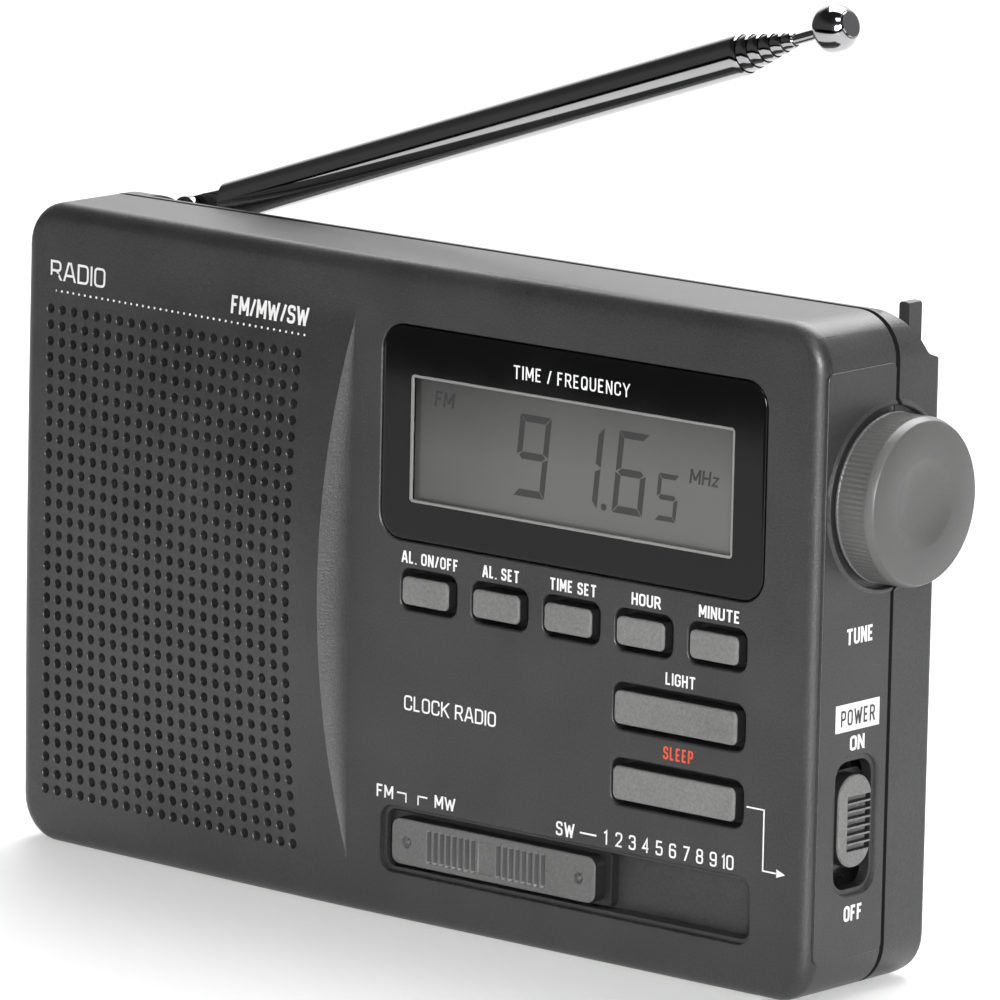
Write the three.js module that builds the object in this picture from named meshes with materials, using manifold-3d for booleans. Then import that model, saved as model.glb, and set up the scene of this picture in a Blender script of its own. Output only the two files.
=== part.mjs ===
// Pocket shortwave receiver. Millimetres, +Z up, the front panel faces -Y.
// Pieces are laid out in depth D behind the flat front panel, and stored with the origin under the case (Y = D - ORIGIN_D).
import * as THREE from "three";
import Module from "manifold-3d";

const wasm = await Module();
wasm.setup();

// case
const ORIGIN_D = 15;
const HALF_W = 62.9;
const H = 79.7;
const CORNER_R = 5.5;
const EDGE_R = 2;
const WALL = 1.6;
const SEAM_D = 13.9;
const SEAM_GAP = 0.2;
const BACK_D = 22.5;
const BULGE = { x0: -12, x1: 54, z1: 36, d1: 28.8 };
// speaker panel: a shell that stands proud along a curved ridge
const FLAT_X = -7.5;
const GRILLE_LEFT_X = -57.9;
const GRILLE_MID_Z = 39.5;
const GRILLE_HALF_Z = 32.8;
const RIDGE_BOW = 3.4;
const PROUD = 2.4;
const FALL = 1.7;
// display
const WINDOW = { x0: -3.1, x1: 54.9, z0: 46.5, z1: 72.2, r: 3 };
const LCD = { x0: 1.26, x1: 50.3, z0: 51.1, z1: 66.5 };
// push buttons
const KEY_X0 = 0.27;
const KEY_PITCH = 10.96;
const KEY_W = 8.63;
const KEY_Z = 40.6;
const KEY_H = 5;
const KEY_TRAVEL = 0.5;
const BAR_X0 = 33.1;
const BAR_W = 19.7;
const LIGHT_Z = 31.5;
const SLEEP_Z = 22.5;
const BAR_H = 5.6;
// band selector
const SLOT = { x0: -2.4, x1: 54.3, z0: 5.9, z1: 14.2, r: 2 };
const SLOT_Z = 10.05;
const BAND_STEP = 2;
const BAND_STEPS = 11;
const CAP = { x0: -0.2, x1: 31.3, h: 5.65 };
// right side
const KNOB_D = 12.3;
const KNOB_Z = 58.6;
const KNOB_R = 10;
const KNOB_X0 = HALF_W + 0.3;
const KNOB_H = 5.4;
const LIP = { r0: 10.7, r1: 11.5, h: 0.5 };
const POWER_D = 8;
const POWER_TRAVEL = 2.4;
// left side
const WHEEL = { x: -55, z: 50, r: 9.2, d0: 15, d1: 17.6 };
// antenna
const PIVOT = { x: -50.1, d: 19.4, z: 77.8 };
const ANTENNA_REST_DEG = 18.5;
const TUBE_OD = [5, 4.4, 3.8, 3.2, 2.6, 2];
const ROD_D = 1.3;
const TUBE_CLEAR = 0.05;
const TUBE_END = 90;
const COLLAR = 1.5;
const TIP_X0 = 101;
const TIP_X1 = 105.8;
// battery, speaker
const CELL_R = 7.1;
const CELL_L = 50.5;
const SPEAKER = { x: -36.5, z: 38, r: 24.5 };

const group = new THREE.Group();

function toSolid(geometry) {
  const src = geometry.index ? geometry.toNonIndexed() : geometry;
  const pos = src.getAttribute("position");
  const ids = new Map();
  const verts = [];
  const tris = [];
  for (let i = 0; i < pos.count; i += 3) {
    const tri = [0, 1, 2].map((k) => {
      const p = [pos.getX(i + k), pos.getY(i + k), pos.getZ(i + k)];
      const key = p.map((v) => Math.round(v * 1e5)).join();
      if (!ids.has(key)) {
        ids.set(key, ids.size);
        verts.push(...p);
      }
      return ids.get(key);
    });
    if (new Set(tri).size === 3) tris.push(...tri);
  }
  const vertProperties = new Float32Array(verts);
  const triVerts = new Uint32Array(tris);
  return new wasm.Manifold(new wasm.Mesh({ numProp: 3, vertProperties, triVerts }));
}

function solid(geometry, matrix) {
  if (matrix) geometry.applyMatrix4(matrix);
  return toSolid(geometry);
}

function put(name, body, color, options = {}) {
  const mesh = body.simplify(0.004).getMesh();
  const out = new THREE.BufferGeometry();
  const count = mesh.vertProperties.length / mesh.numProp;
  const xyz = new Float32Array(count * 3);
  for (let i = 0; i < count; i++) {
    for (let k = 0; k < 3; k++) xyz[i * 3 + k] = mesh.vertProperties[i * mesh.numProp + k];
  }
  out.setAttribute("position", new THREE.BufferAttribute(xyz, 3));
  out.setIndex(new THREE.BufferAttribute(new Uint32Array(mesh.triVerts), 1));
  out.translate(0, -ORIGIN_D, 0);
  out.computeVertexNormals();
  const material = new THREE.MeshStandardMaterial({ color, roughness: 0.6, ...options });
  const piece = new THREE.Mesh(out, material);
  piece.name = name;
  group.add(piece);
}

const box = (x0, x1, d0, d1, z0, z1) => {
  const g = new THREE.BoxGeometry(x1 - x0, d1 - d0, z1 - z0);
  return solid(g.translate((x0 + x1) / 2, (d0 + d1) / 2, (z0 + z1) / 2));
};

// cylinder between a0 and a1 along an axis, centred on the other two coordinates in X, D, Z order
function rod(axis, c0, c1, r0, a0, a1, n = 24, r1 = r0) {
  const g = new THREE.CylinderGeometry(r1, r0, a1 - a0, n, 1);
  g.translate(0, (a0 + a1) / 2, 0);
  const m = new THREE.Matrix4();
  if (axis === "x") m.makeRotationZ(-Math.PI / 2).setPosition(0, c0, c1);
  if (axis === "d") m.setPosition(c0, 0, c1);
  if (axis === "z") m.makeRotationX(Math.PI / 2).setPosition(c0, c1, 0);
  return solid(g, m);
}

function roundRect(u0, u1, v0, v1, r, segments = 5) {
  const s = new THREE.Shape();
  const corners = [[u1 - r, v0 + r, -90], [u1 - r, v1 - r, 0], [u0 + r, v1 - r, 90], [u0 + r, v0 + r, 180]];
  const pts = [];
  for (const [cu, cv, start] of corners) {
    for (let i = 0; i <= segments; i++) {
      const a = THREE.MathUtils.degToRad(start + (90 * i) / segments);
      pts.push(new THREE.Vector2(cu + r * Math.cos(a), cv + r * Math.sin(a)));
    }
  }
  s.setFromPoints(pts);
  return s;
}

// a rounded rectangle in X and Z, run along depth
function slab(x0, x1, z0, z1, r, d0, d1, segments = 5) {
  const g = new THREE.ExtrudeGeometry(roundRect(x0, x1, z0, z1, r, segments), { depth: d1 - d0, bevelEnabled: false });
  g.rotateX(Math.PI / 2);
  g.translate(0, d1, 0);
  return solid(g);
}

// a rounded rectangle in D and Z, run along X
function sideSlab(d0, d1, z0, z1, r, x0, x1, segments = 6) {
  const g = new THREE.ExtrudeGeometry(roundRect(d0, d1, z0, z1, r, segments), { depth: x1 - x0, bevelEnabled: false });
  g.applyMatrix4(new THREE.Matrix4().set(0, 0, 1, x0, 1, 0, 0, 0, 0, 1, 0, 0, 0, 0, 0, 1));
  return solid(g);
}

// polygon in D and Z, run along X
function profile(points, x0, x1) {
  const s = new THREE.Shape(points.map(([d, z]) => new THREE.Vector2(d, z)));
  const g = new THREE.ExtrudeGeometry(s, { depth: x1 - x0, bevelEnabled: false });
  g.applyMatrix4(new THREE.Matrix4().set(0, 0, 1, x0, 1, 0, 0, 0, 0, 1, 0, 0, 0, 0, 0, 1));
  return solid(g);
}

function turned(points, x, z, segments = 32) {
  const g = new THREE.LatheGeometry(points.map(([r, d]) => new THREE.Vector2(r, d)), segments);
  g.translate(x, 0, z);
  return solid(g);
}
// raised ring round the tuning knob, between two depths
function lipRing(d0, d1) {
  const points = [[LIP.r0, -0.6], [LIP.r1, -0.6], [LIP.r1, 0], [LIP.r0 + 0.2, LIP.h], [LIP.r0, LIP.h], [LIP.r0, -0.6]];
  const g = new THREE.LatheGeometry(points.map(([r, x]) => new THREE.Vector2(r, x)), 40);
  const ring = solid(g, new THREE.Matrix4().makeRotationZ(-Math.PI / 2).setPosition(HALF_W, KNOB_D, KNOB_Z));
  return ring.intersect(box(HALF_W - 1, HALF_W + 1, d0, d1, 40, 75));
}

const union = (list) => list.reduce((a, b) => a.add(b));
const cut = (body, list) => list.reduce((a, b) => a.subtract(b), body);

const ridgeX = (z) => {
  const w = (z - GRILLE_MID_Z) / GRILLE_HALF_Z;
  return FLAT_X - RIDGE_BOW * Math.max(0, 1 - w * w);
};

// depth of the front surface: flat on the right, the speaker panel bows towards the viewer on the left
function frontDepth(x, z) {
  if (x >= FLAT_X) return 0;
  const w = (z - GRILLE_MID_Z) / GRILLE_HALF_Z;
  const arch = Math.max(0, 1 - w * w);
  const panel = (px) => {
    const s = (FLAT_X - px) / (FLAT_X - GRILLE_LEFT_X);
    return FALL * Math.pow(s, 1.3) - PROUD * (1 - 0.9 * Math.min(1, Math.pow(s, 1.4))) * arch;
  };
  const ridge = ridgeX(z);
  if (x <= ridge) return panel(x);
  return panel(ridge) * Math.pow((FLAT_X - x) / (FLAT_X - ridge), 1.5);
}

function edgeDistance(x, z) {
  const qx = Math.abs(x) - (HALF_W - CORNER_R);
  const qz = Math.abs(z - H / 2) - (H / 2 - CORNER_R);
  return CORNER_R - Math.hypot(Math.max(qx, 0), Math.max(qz, 0)) - Math.min(Math.max(qx, qz), 0);
}

const rounding = (d) => EDGE_R - Math.sqrt(Math.max(0, EDGE_R * EDGE_R - Math.pow(Math.max(0, EDGE_R - d), 2)));

// a closed block over the case outline between two depth functions
function caseBlock(depthNear, depthFar) {
  const edge = [0, 0.12, 0.45, 0.9, EDGE_R];
  const rise = [2.4, 3.8, CORNER_R];
  const low = [...edge, ...rise];
  const rows = [...low];
  for (let i = 1; i <= 11; i++) rows.push(CORNER_R + ((H - 2 * CORNER_R) * i) / 12);
  rows.push(...low.map((v) => H - v).reverse());
  const half = (z) => {
    const v = Math.min(z, H - z);
    if (v >= CORNER_R) return HALF_W;
    return HALF_W - CORNER_R + Math.sqrt(Math.max(0, CORNER_R * CORNER_R - (CORNER_R - v) * (CORNER_R - v)));
  };
  const grid = rows.map((z) => {
    const h = half(z);
    const ridge = ridgeX(z);
    const left = edge.map((v) => -h + v);
    const bowed = [0.15, 0.3, 0.45, 0.6, 0.75, 0.88, 1].map((t) => THREE.MathUtils.lerp(-h + EDGE_R, ridge, t));
    const fall = ridge < FLAT_X - 0.01 ? [0.35, 0.7, 1].map((t) => THREE.MathUtils.lerp(ridge, FLAT_X, t))
      : [FLAT_X + 0.02, FLAT_X + 0.04, FLAT_X + 0.06];
    return [...left, ...bowed, ...fall, ...edge.map((v) => h - v).reverse()].map((x) => [x, z]);
  });
  const nr = grid.length;
  const nc = grid[0].length;
  const verts = [];
  for (const depth of [depthNear, depthFar]) {
    for (const row of grid) for (const [x, z] of row) verts.push(x, depth(x, z), z);
  }
  const at = (layer, i, j) => layer * nr * nc + i * nc + j;
  const tris = [];
  const quad = (a, b, c, d) => tris.push(a, b, c, a, c, d);
  for (let i = 0; i < nr - 1; i++) {
    for (let j = 0; j < nc - 1; j++) {
      quad(at(0, i, j), at(0, i, j + 1), at(0, i + 1, j + 1), at(0, i + 1, j));
      quad(at(1, i, j), at(1, i + 1, j), at(1, i + 1, j + 1), at(1, i, j + 1));
    }
    quad(at(0, i, 0), at(0, i + 1, 0), at(1, i + 1, 0), at(1, i, 0));
    quad(at(0, i, nc - 1), at(1, i, nc - 1), at(1, i + 1, nc - 1), at(0, i + 1, nc - 1));
  }
  for (let j = 0; j < nc - 1; j++) {
    quad(at(0, 0, j), at(1, 0, j), at(1, 0, j + 1), at(0, 0, j + 1));
    quad(at(0, nr - 1, j), at(0, nr - 1, j + 1), at(1, nr - 1, j + 1), at(1, nr - 1, j));
  }
  const vertProperties = new Float32Array(verts);
  const triVerts = new Uint32Array(tris);
  return new wasm.Manifold(new wasm.Mesh({ numProp: 3, vertProperties, triVerts }));
}

const innerSlab = (d0, d1, gap = WALL) => slab(gap - HALF_W, HALF_W - gap, gap, H - gap, CORNER_R - gap, d0, d1);

const screwSites = [[-57, 8], [57, 8], [-57, 68.5], [57, 68.5]];

// front cabinet
const keyX = [0, 1, 2, 3, 4].map((k) => KEY_X0 + k * KEY_PITCH);
let front = caseBlock((x, z) => frontDepth(x, z) + rounding(edgeDistance(x, z)), () => SEAM_D - SEAM_GAP / 2);
front = cut(front, [
  innerSlab(3.6, SEAM_D + 1),
  box(FLAT_X + 2, HALF_W - WALL, 1.8, 4, WALL, H - WALL),
]);
front = front.add(slab(SLOT.x0 - 1.4, SLOT.x1 + 3.4, SLOT.z0 - 1.4, SLOT.z1 + 1.4, 1.5, 1, 4.2));
for (const [x, z] of screwSites) front = front.add(rod("d", x, z, 2.7, 1.5, 13.5, 16));
front = cut(front, [
  slab(WINDOW.x0 - 0.1, WINDOW.x1 + 0.1, WINDOW.z0 - 0.1, WINDOW.z1 + 0.1, WINDOW.r, -1, 1.2),
  box(WINDOW.x0 + 1.6, WINDOW.x1 - 1.6, 0, 4, WINDOW.z0 + 2, WINDOW.z1 - 2),
  slab(SLOT.x0, SLOT.x1, SLOT.z0, SLOT.z1, SLOT.r, -1, 1.5),
  box(SLOT.x0, SLOT.x1 + 2, 1.4, 2.9, SLOT.z0 + 0.6, SLOT.z1 - 0.6),
  box(4.8, 31.2, 2, 5, SLOT_Z - 1.2, SLOT_Z + 1.2),
  ...keyX.map((x) => slab(x, x + KEY_W, KEY_Z - KEY_H / 2, KEY_Z + KEY_H / 2, 1.3, -1, 3)),
  ...[LIGHT_Z, SLEEP_Z].map((z) => slab(BAR_X0, BAR_X0 + BAR_W, z - BAR_H / 2, z + BAR_H / 2, 1.4, -1, 3)),
  ...screwSites.map(([x, z]) => rod("d", x, z, 1.15, 5, 14, 12)),
  rod("x", KNOB_D, KNOB_Z, LIP.r0, HALF_W - 0.6, HALF_W + 1, 40),
  rod("x", KNOB_D, KNOB_Z, 3.3, 55, HALF_W + 1, 20),
  sideSlab(POWER_D - 3.5, POWER_D + 3.5, 12.9, 28.5, 2.3, 58, HALF_W + 1),
  rod("x", 9.6, 15.7, 3.15, -HALF_W - 1, -58, 20),
  rod("x", 8.6, 61.6, 3.15, -HALF_W - 1, -58, 20),
]);
put("front_cabinet", front.add(lipRing(0.9, SEAM_D - SEAM_GAP / 2)), 0x424242);

// rear cabinet: shell, battery bay, antenna channel and tip clip
const backRound = (z) => {
  const top = Math.max(0, z - (H - 6));
  const low = Math.max(0, 2.5 - z);
  return BACK_D - (6 - Math.sqrt(Math.max(0, 36 - top * top))) - (2.5 - Math.sqrt(Math.max(0, 6.25 - low * low)));
};
let rear = caseBlock(() => SEAM_D + SEAM_GAP / 2, (x, z) => backRound(z) - rounding(edgeDistance(x, z)) * 0.6);
rear = rear.add(slab(BULGE.x0, BULGE.x1, 0, BULGE.z1, 2.5, 18, BULGE.d1));
rear = cut(rear, [
  slab(WALL - HALF_W, HALF_W - WALL, WALL, 72.2, 3.9, SEAM_D - 1, BACK_D - WALL),
  slab(WALL - HALF_W, HALF_W - WALL, 60, 76.6, 3.9, SEAM_D - 1, 14.9),
]);
rear = rear.add(box(BULGE.x0, BULGE.x1, 10.4, 22, WALL + 0.2, BULGE.z1 - 0.4));
for (const [x, z] of screwSites) rear = rear.add(rod("d", x, z, 3.2, SEAM_D + SEAM_GAP / 2, BACK_D - 0.5, 16));
const channel = [[14.2, H + 1], [15, H], [15.9, 79.4], [16.7, 78.7], [17.5, 77.8], [18.3, 76.6], [19.2, 75.1],
  [19.7, 74.5], [20.3, 74.2], [21.5, 73.8], [22.1, 73.2], [22.4, 72.4], [24, 72.4], [24, H + 1]];
const clip = box(58.75, 60.25, 19.2, 21.6, 70.5, 80.1);
rear = cut(rear, [
  profile(channel, PIVOT.x - 4.1, HALF_W + 1),
  rod("x", PIVOT.d, PIVOT.z, 3, PIVOT.x, 57.4, 24),
  rod("z", PIVOT.x, PIVOT.d, 4.1, 70.4, 81, 32),
]);
rear = rear.add(union([rod("z", PIVOT.x, PIVOT.d, 4.9, 68.8, 70.4, 24).intersect(box(-60, -40, 13, BACK_D - 0.6, 68, 71)), clip]));
rear = cut(rear, [
  rod("z", PIVOT.x, PIVOT.d, 1.3, 68, 71, 16),
  box(BULGE.x0 + WALL, BULGE.x1 - WALL, 11.6, 26.6, 3, BULGE.z1 - 2),
  slab(-8, 50, 4, 32, 1.5, 26.4, 30),
  ...screwSites.map(([x, z]) => rod("d", x, z, 1.35, 12, 23, 12)),
  ...screwSites.map(([x, z]) => rod("d", x, z, 2.7, 19.8, 23, 16)),
  rod("x", KNOB_D, KNOB_Z, LIP.r0, HALF_W - 0.6, HALF_W + 1, 40),
  rod("x", KNOB_D, KNOB_Z, 3.3, 55, HALF_W + 1, 20),
  box(-HALF_W - 1, -60, WHEEL.d0 - 0.4, WHEEL.d1 + 0.4, WHEEL.z - 7.6, WHEEL.z + 7.6),
]);
put("rear_cabinet", rear.add(lipRing(SEAM_D + SEAM_GAP / 2, BACK_D - 0.5)), 0x424242);

// display
put("display_window", slab(WINDOW.x0, WINDOW.x1, WINDOW.z0, WINDOW.z1, WINDOW.r - 0.1, 0.02, 1.15), 0x0c0d0e, { roughness: 0.15 });
put("lcd_frame", slab(-1.3, 53.1, 48.7, 70, 0.8, 1.25, 2.4).subtract(slab(LCD.x0, LCD.x1, LCD.z0, LCD.z1, 0.6, 1, 3)), 0x9a9c98);
put("lcd_panel", box(-0.5, 52, 2.5, 4.9, 49.4, 68.6), 0x87897f);
put("backlight", box(-0.5, 52, 5, 6.9, 49.4, 68.6), 0xe8e6da);

// circuit board and its switches
const board = cut(slab(-4.5, 50, 18, 66, 1, 8.2, 9.8), [box(6, 12, 8, 10, 60, 67)]);
put("main_board", board.add(box(-4.5, 48, 8.2, 9.8, 4, 20)), 0x2f6b3f);
const tact = (x, z) => box(x - 3, x + 3, 4.9, 8.15, z - 3, z + 3).add(rod("d", x, z, 1.6, 4.4, 5.2, 16));
keyX.forEach((x, k) => put(`tact_switch_key_${k + 1}`, tact(x + KEY_W / 2, KEY_Z), 0x1d1d1f));
put("tact_switch_light", tact(BAR_X0 + BAR_W / 2 - 3, LIGHT_Z), 0x1d1d1f);
put("tact_switch_sleep", tact(BAR_X0 + BAR_W / 2 - 3, SLEEP_Z), 0x1d1d1f);

// push buttons: cap, shoulder behind the panel, plunger
function button(x0, width, z, height, r, gap) {
  const cap = slab(x0 + gap, x0 + width - gap, z - height / 2 + gap, z + height / 2 - gap, r, -0.7, 2.2);
  const shoulder = slab(x0 - 0.4, x0 + width + 0.4, z - height / 2 - 0.5, z + height / 2 + 0.5, 1, 2, 2.9);
  const px = width > 12 ? x0 + width / 2 - 3 : x0 + width / 2;
  return union([cap, shoulder, rod("d", px, z, 1.4, 2.5, 4.4 - KEY_TRAVEL - 0.05, 16)]);
}
const keyNames = ["clock_on_off", "clock_set", "time_display", "hour", "minute"];
keyNames.forEach((n, k) => put(`button_${n}`, button(keyX[k], KEY_W, KEY_Z, KEY_H, 0.85, 0.7), 0x858585));
put("button_light", button(BAR_X0, BAR_W, LIGHT_Z, BAR_H, 0.9, 0.7), 0x858585);
put("button_sleep", button(BAR_X0, BAR_W, SLEEP_Z, BAR_H, 0.9, 0.7), 0x858585);

// band selector
put("band_slider_cap", slab(CAP.x0, CAP.x1, SLOT_Z - CAP.h / 2, SLOT_Z + CAP.h / 2, 1.2, -0.35, 1.5), 0x7a7a7a);
const shutter = slab(SLOT.x0 + 0.4, 33.7, SLOT_Z - 3.3, SLOT_Z + 3.3, 0.6, 1.55, 2.75);
put("band_slider_plate", shutter.add(box(5.2, 8.8, 2.5, 6.3, SLOT_Z - 0.9, SLOT_Z + 0.9)), 0x2c2c2c);
const bandBody = box(2, 38, 5, 8.15, SLOT_Z - 4.5, SLOT_Z + 4.5);
put("band_switch_body", bandBody.subtract(box(4.8, 31.2, 4, 6.7, SLOT_Z - 1.2, SLOT_Z + 1.2)), 0xb9bcc0, { metalness: 0.7 });

// power switch
const powerCap = union([
  sideSlab(POWER_D - 3.05, POWER_D + 3.05, 15.6, 26.6, 2.9, 60.8, 63.1),
  sideSlab(POWER_D - 3.8, POWER_D + 3.6, 15.4, 26.9, 1.5, 60, 61.1),
  box(58.4, 60.4, POWER_D - 1, POWER_D + 1, 20.2, 22.2),
]);
put("power_switch_cap", powerCap, 0x8a8a8a);
const powerBody = box(54.3, 59.6, 4.4, 11.4, 13.4, 27.6);
put("power_switch_body", powerBody.subtract(box(57.9, 60, POWER_D - 1.3, POWER_D + 1.3, 17, 23)), 0xb9bcc0, { metalness: 0.7 });

// tuning knob, its shaft and the variable capacitor it turns
const knobPoints = [[0, 0], [KNOB_R - 0.3, 0], [KNOB_R, 0.35], [KNOB_R, 3.9], [KNOB_R - 0.1, 4.7], [KNOB_R - 0.35, 5.2],
  [KNOB_R - 0.7, KNOB_H], [5.2, KNOB_H], [4.6, KNOB_H - 0.25], [2.5, KNOB_H - 0.55], [0, KNOB_H - 0.65]];
const knobLathe = new THREE.LatheGeometry(knobPoints.map(([r, h]) => new THREE.Vector2(r, h)), 36);
const toSide = new THREE.Matrix4().makeRotationZ(-Math.PI / 2).setPosition(KNOB_X0, KNOB_D, KNOB_Z);
let knob = solid(knobLathe, toSide);
knob = knob.subtract(rod("x", KNOB_D, KNOB_Z, 2.95, KNOB_X0 - 1, KNOB_X0 + 3, 20));
put("tuning_knob", knob, 0x6e6e6e);
put("tuning_shaft", rod("x", KNOB_D, KNOB_Z, 2.9, 57.2, KNOB_X0 + 2.8, 20), 0xb9bcc0, { metalness: 0.8 });
const capacitor = box(52.5, 61, 6, 18.4, 51.5, 65);
put("tuning_capacitor", capacitor.subtract(rod("x", KNOB_D, KNOB_Z, 3.1, 57, 62, 20)), 0xe3e2dc);

// volume thumbwheel and its control
const spokes = [];
for (let i = 0; i < 24; i++) {
  const a = (i / 24) * 2 * Math.PI;
  spokes.push([WHEEL.x + WHEEL.r * Math.cos(a), WHEEL.z + WHEEL.r * Math.sin(a)]);
}
const wheelBody = rod("d", WHEEL.x, WHEEL.z, WHEEL.r - 0.25, WHEEL.d0, WHEEL.d1, 24);
const ribs = spokes.map(([x, z]) => rod("d", x - (x - WHEEL.x) * 0.035, z - (z - WHEEL.z) * 0.035, 0.45, WHEEL.d0 + 0.3, WHEEL.d1 - 0.3, 4));
put("volume_wheel", union([wheelBody, ...ribs]), 0x2a2a2a);
put("volume_control", rod("d", WHEEL.x, WHEEL.z, 6, WHEEL.d1 + 0.2, 19.9, 20), 0xb9bcc0, { metalness: 0.6 });

// speaker
const basketPoints = [[24.5, 4.3], [24.5, 5.3], [22.6, 5.3], [12, 12.6], [12, 13], [0, 13], [0, 12.2], [11.4, 12.2], [21.6, 4.9], [21.6, 4.3]];
put("speaker_basket", turned([...basketPoints, basketPoints[0]], SPEAKER.x, SPEAKER.z), 0x3a3a3c, { metalness: 0.6 });
const conePoints = [[0, 9.2], [5, 9.2], [6, 9.6], [20.6, 4.9], [21.3, 4.9], [21.3, 4.4], [20.2, 4.4], [6, 9], [4.8, 8.2], [0, 7.4]];
put("speaker_cone", turned(conePoints.reverse(), SPEAKER.x, SPEAKER.z), 0x1a1a1a);
put("speaker_magnet", rod("d", SPEAKER.x, SPEAKER.z, 11, 13.05, 18.6, 28), 0x55565a, { metalness: 0.5 });
const cloth = slab(-59.4, -12.6, 8, 69, 2, 3.75, 4.15, 2);
put("grille_cloth", cut(cloth, screwSites.map(([x, z]) => rod("d", x, z, 3, 3, 5, 12))), 0x141414);

// loop antenna for the lower bands
put("ferrite_rod", rod("x", 8.5, 73.3, 3, -48, 8, 16), 0x2b2b2d);
put("ferrite_coil", rod("x", 8.5, 73.3, 3.75, -22, -4, 20).subtract(rod("x", 8.5, 73.3, 3.05, -23, -3, 16)), 0xa3572c);

// sockets on the left side
function socket(d, z, bore) {
  const flange = rod("x", d, z, 3.05, -HALF_W + 0.05, -60.9, 20);
  const body = box(-61.1, -51.5, d - 3.3, d + 3.3, z - 3.3, z + 3.3);
  return cut(flange.add(body), [rod("x", d, z, bore, -HALF_W - 1, -53, 16)]);
}
put("earphone_jack", socket(9.6, 15.7, 1.8), 0x151516);
put("dc_jack", socket(8.6, 61.6, 1.95).add(rod("x", 8.6, 61.6, 0.65, -61.5, -52.5, 10)), 0x151516);

// battery bay
const cellZ = [10.6, 26.4];
cellZ.forEach((z, i) => {
  const dir = i === 0 ? 1 : -1;
  const mid = 21;
  const lo = mid - CELL_L / 2;
  const hi = mid + CELL_L / 2;
  const can = dir > 0 ? rod("x", 19.1, z, CELL_R, lo, hi - 1.2, 24) : rod("x", 19.1, z, CELL_R, lo + 1.2, hi, 24);
  const cap = dir > 0 ? rod("x", 19.1, z, 2.7, hi - 1.6, hi, 16) : rod("x", 19.1, z, 2.7, lo, lo + 1.6, 16);
  put(`battery_${i + 1}`, can.add(cap), 0x3c6f9c, { metalness: 0.4 });
});
put("battery_bridge", box(51.8, 52.3, 14, 24, 5.5, 31.5).add(box(46.5, 52, 17.6, 20.6, 9.6, 11.6)), 0xc9c9c6, { metalness: 0.9 });
put("battery_contact", box(-10.3, -9.8, 14, 24, 21.5, 31.5).add(box(-10, -4.5, 17.6, 20.6, 25.4, 27.4)), 0xc9c9c6, { metalness: 0.9 });
function coil(x0, x1, z) {
  const pts = [];
  const turns = 3;
  for (let i = 0; i <= turns * 12; i++) {
    const a = (i / 12) * 2 * Math.PI;
    const t = i / (turns * 12);
    const r = THREE.MathUtils.lerp(4.2, 2.6, t);
    pts.push(new THREE.Vector3(THREE.MathUtils.lerp(x0, x1, t), 19.1 + r * Math.cos(a), z + r * Math.sin(a)));
  }
  const wire = new THREE.Shape();
  wire.absarc(0, 0, 0.35, 0, 2 * Math.PI);
  const path = new THREE.CatmullRomCurve3(pts);
  return solid(new THREE.ExtrudeGeometry(wire, { steps: 36, curveSegments: 2, bevelEnabled: false, extrudePath: path }));
}
put("battery_spring_1", coil(-9.6, -4.9, cellZ[0]).add(box(-10.3, -9.4, 13.5, 24.5, 5.2, 16)), 0xc9c9c6, { metalness: 0.9 });
put("battery_spring_2", coil(51.2, 46.9, cellZ[1]), 0xc9c9c6, { metalness: 0.9 });
put("battery_door", slab(-7.8, 49.8, 4.2, 31.8, 1.3, 27.3, BULGE.d1), 0x424242);

// case screws
screwSites.forEach(([x, z], i) => {
  const head = cut(rod("d", x, z, 2.45, 19.85, 21.3, 16), [box(x - 2, x + 2, 20.7, 22, z - 0.3, z + 0.3), box(x - 0.3, x + 0.3, 20.7, 22, z - 2, z + 2)]);
  put(`case_screw_${i + 1}`, head.add(rod("d", x, z, 1.1, 6, 20, 12)), 0x8f8f8f, { metalness: 0.9 });
});

// telescopic antenna: swivel fork, pin, nested tubes laid along X from the pivot and raised to the stored angle
const fork = union([
  rod("z", PIVOT.x, PIVOT.d, 3.8, 70.5, 74.4, 32),
  rod("z", PIVOT.x, PIVOT.d, 1.25, 68.6, 71, 16),
  ...[-2.45, 1.5].map((o) => box(PIVOT.x - 2.1, PIVOT.x + 2.1, PIVOT.d + o, PIVOT.d + o + 0.95, 74, PIVOT.z)),
  ...[-2.45, 1.5].map((o) => rod("d", PIVOT.x, PIVOT.z, 2.1, PIVOT.d + o, PIVOT.d + o + 0.95, 20)),
]);
put("antenna_fork", fork.subtract(rod("d", PIVOT.x, PIVOT.z, 0.85, 10, 26, 16)), 0xd0d0d0, { metalness: 1 });
const pin = union([rod("d", PIVOT.x, PIVOT.z, 0.8, PIVOT.d - 2.6, PIVOT.d + 2.6, 16), rod("d", PIVOT.x, PIVOT.z, 1.3, PIVOT.d - 2.9, PIVOT.d - 2.5, 16)]);
put("antenna_pin", pin, 0xd0d0d0, { metalness: 1 });

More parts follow.
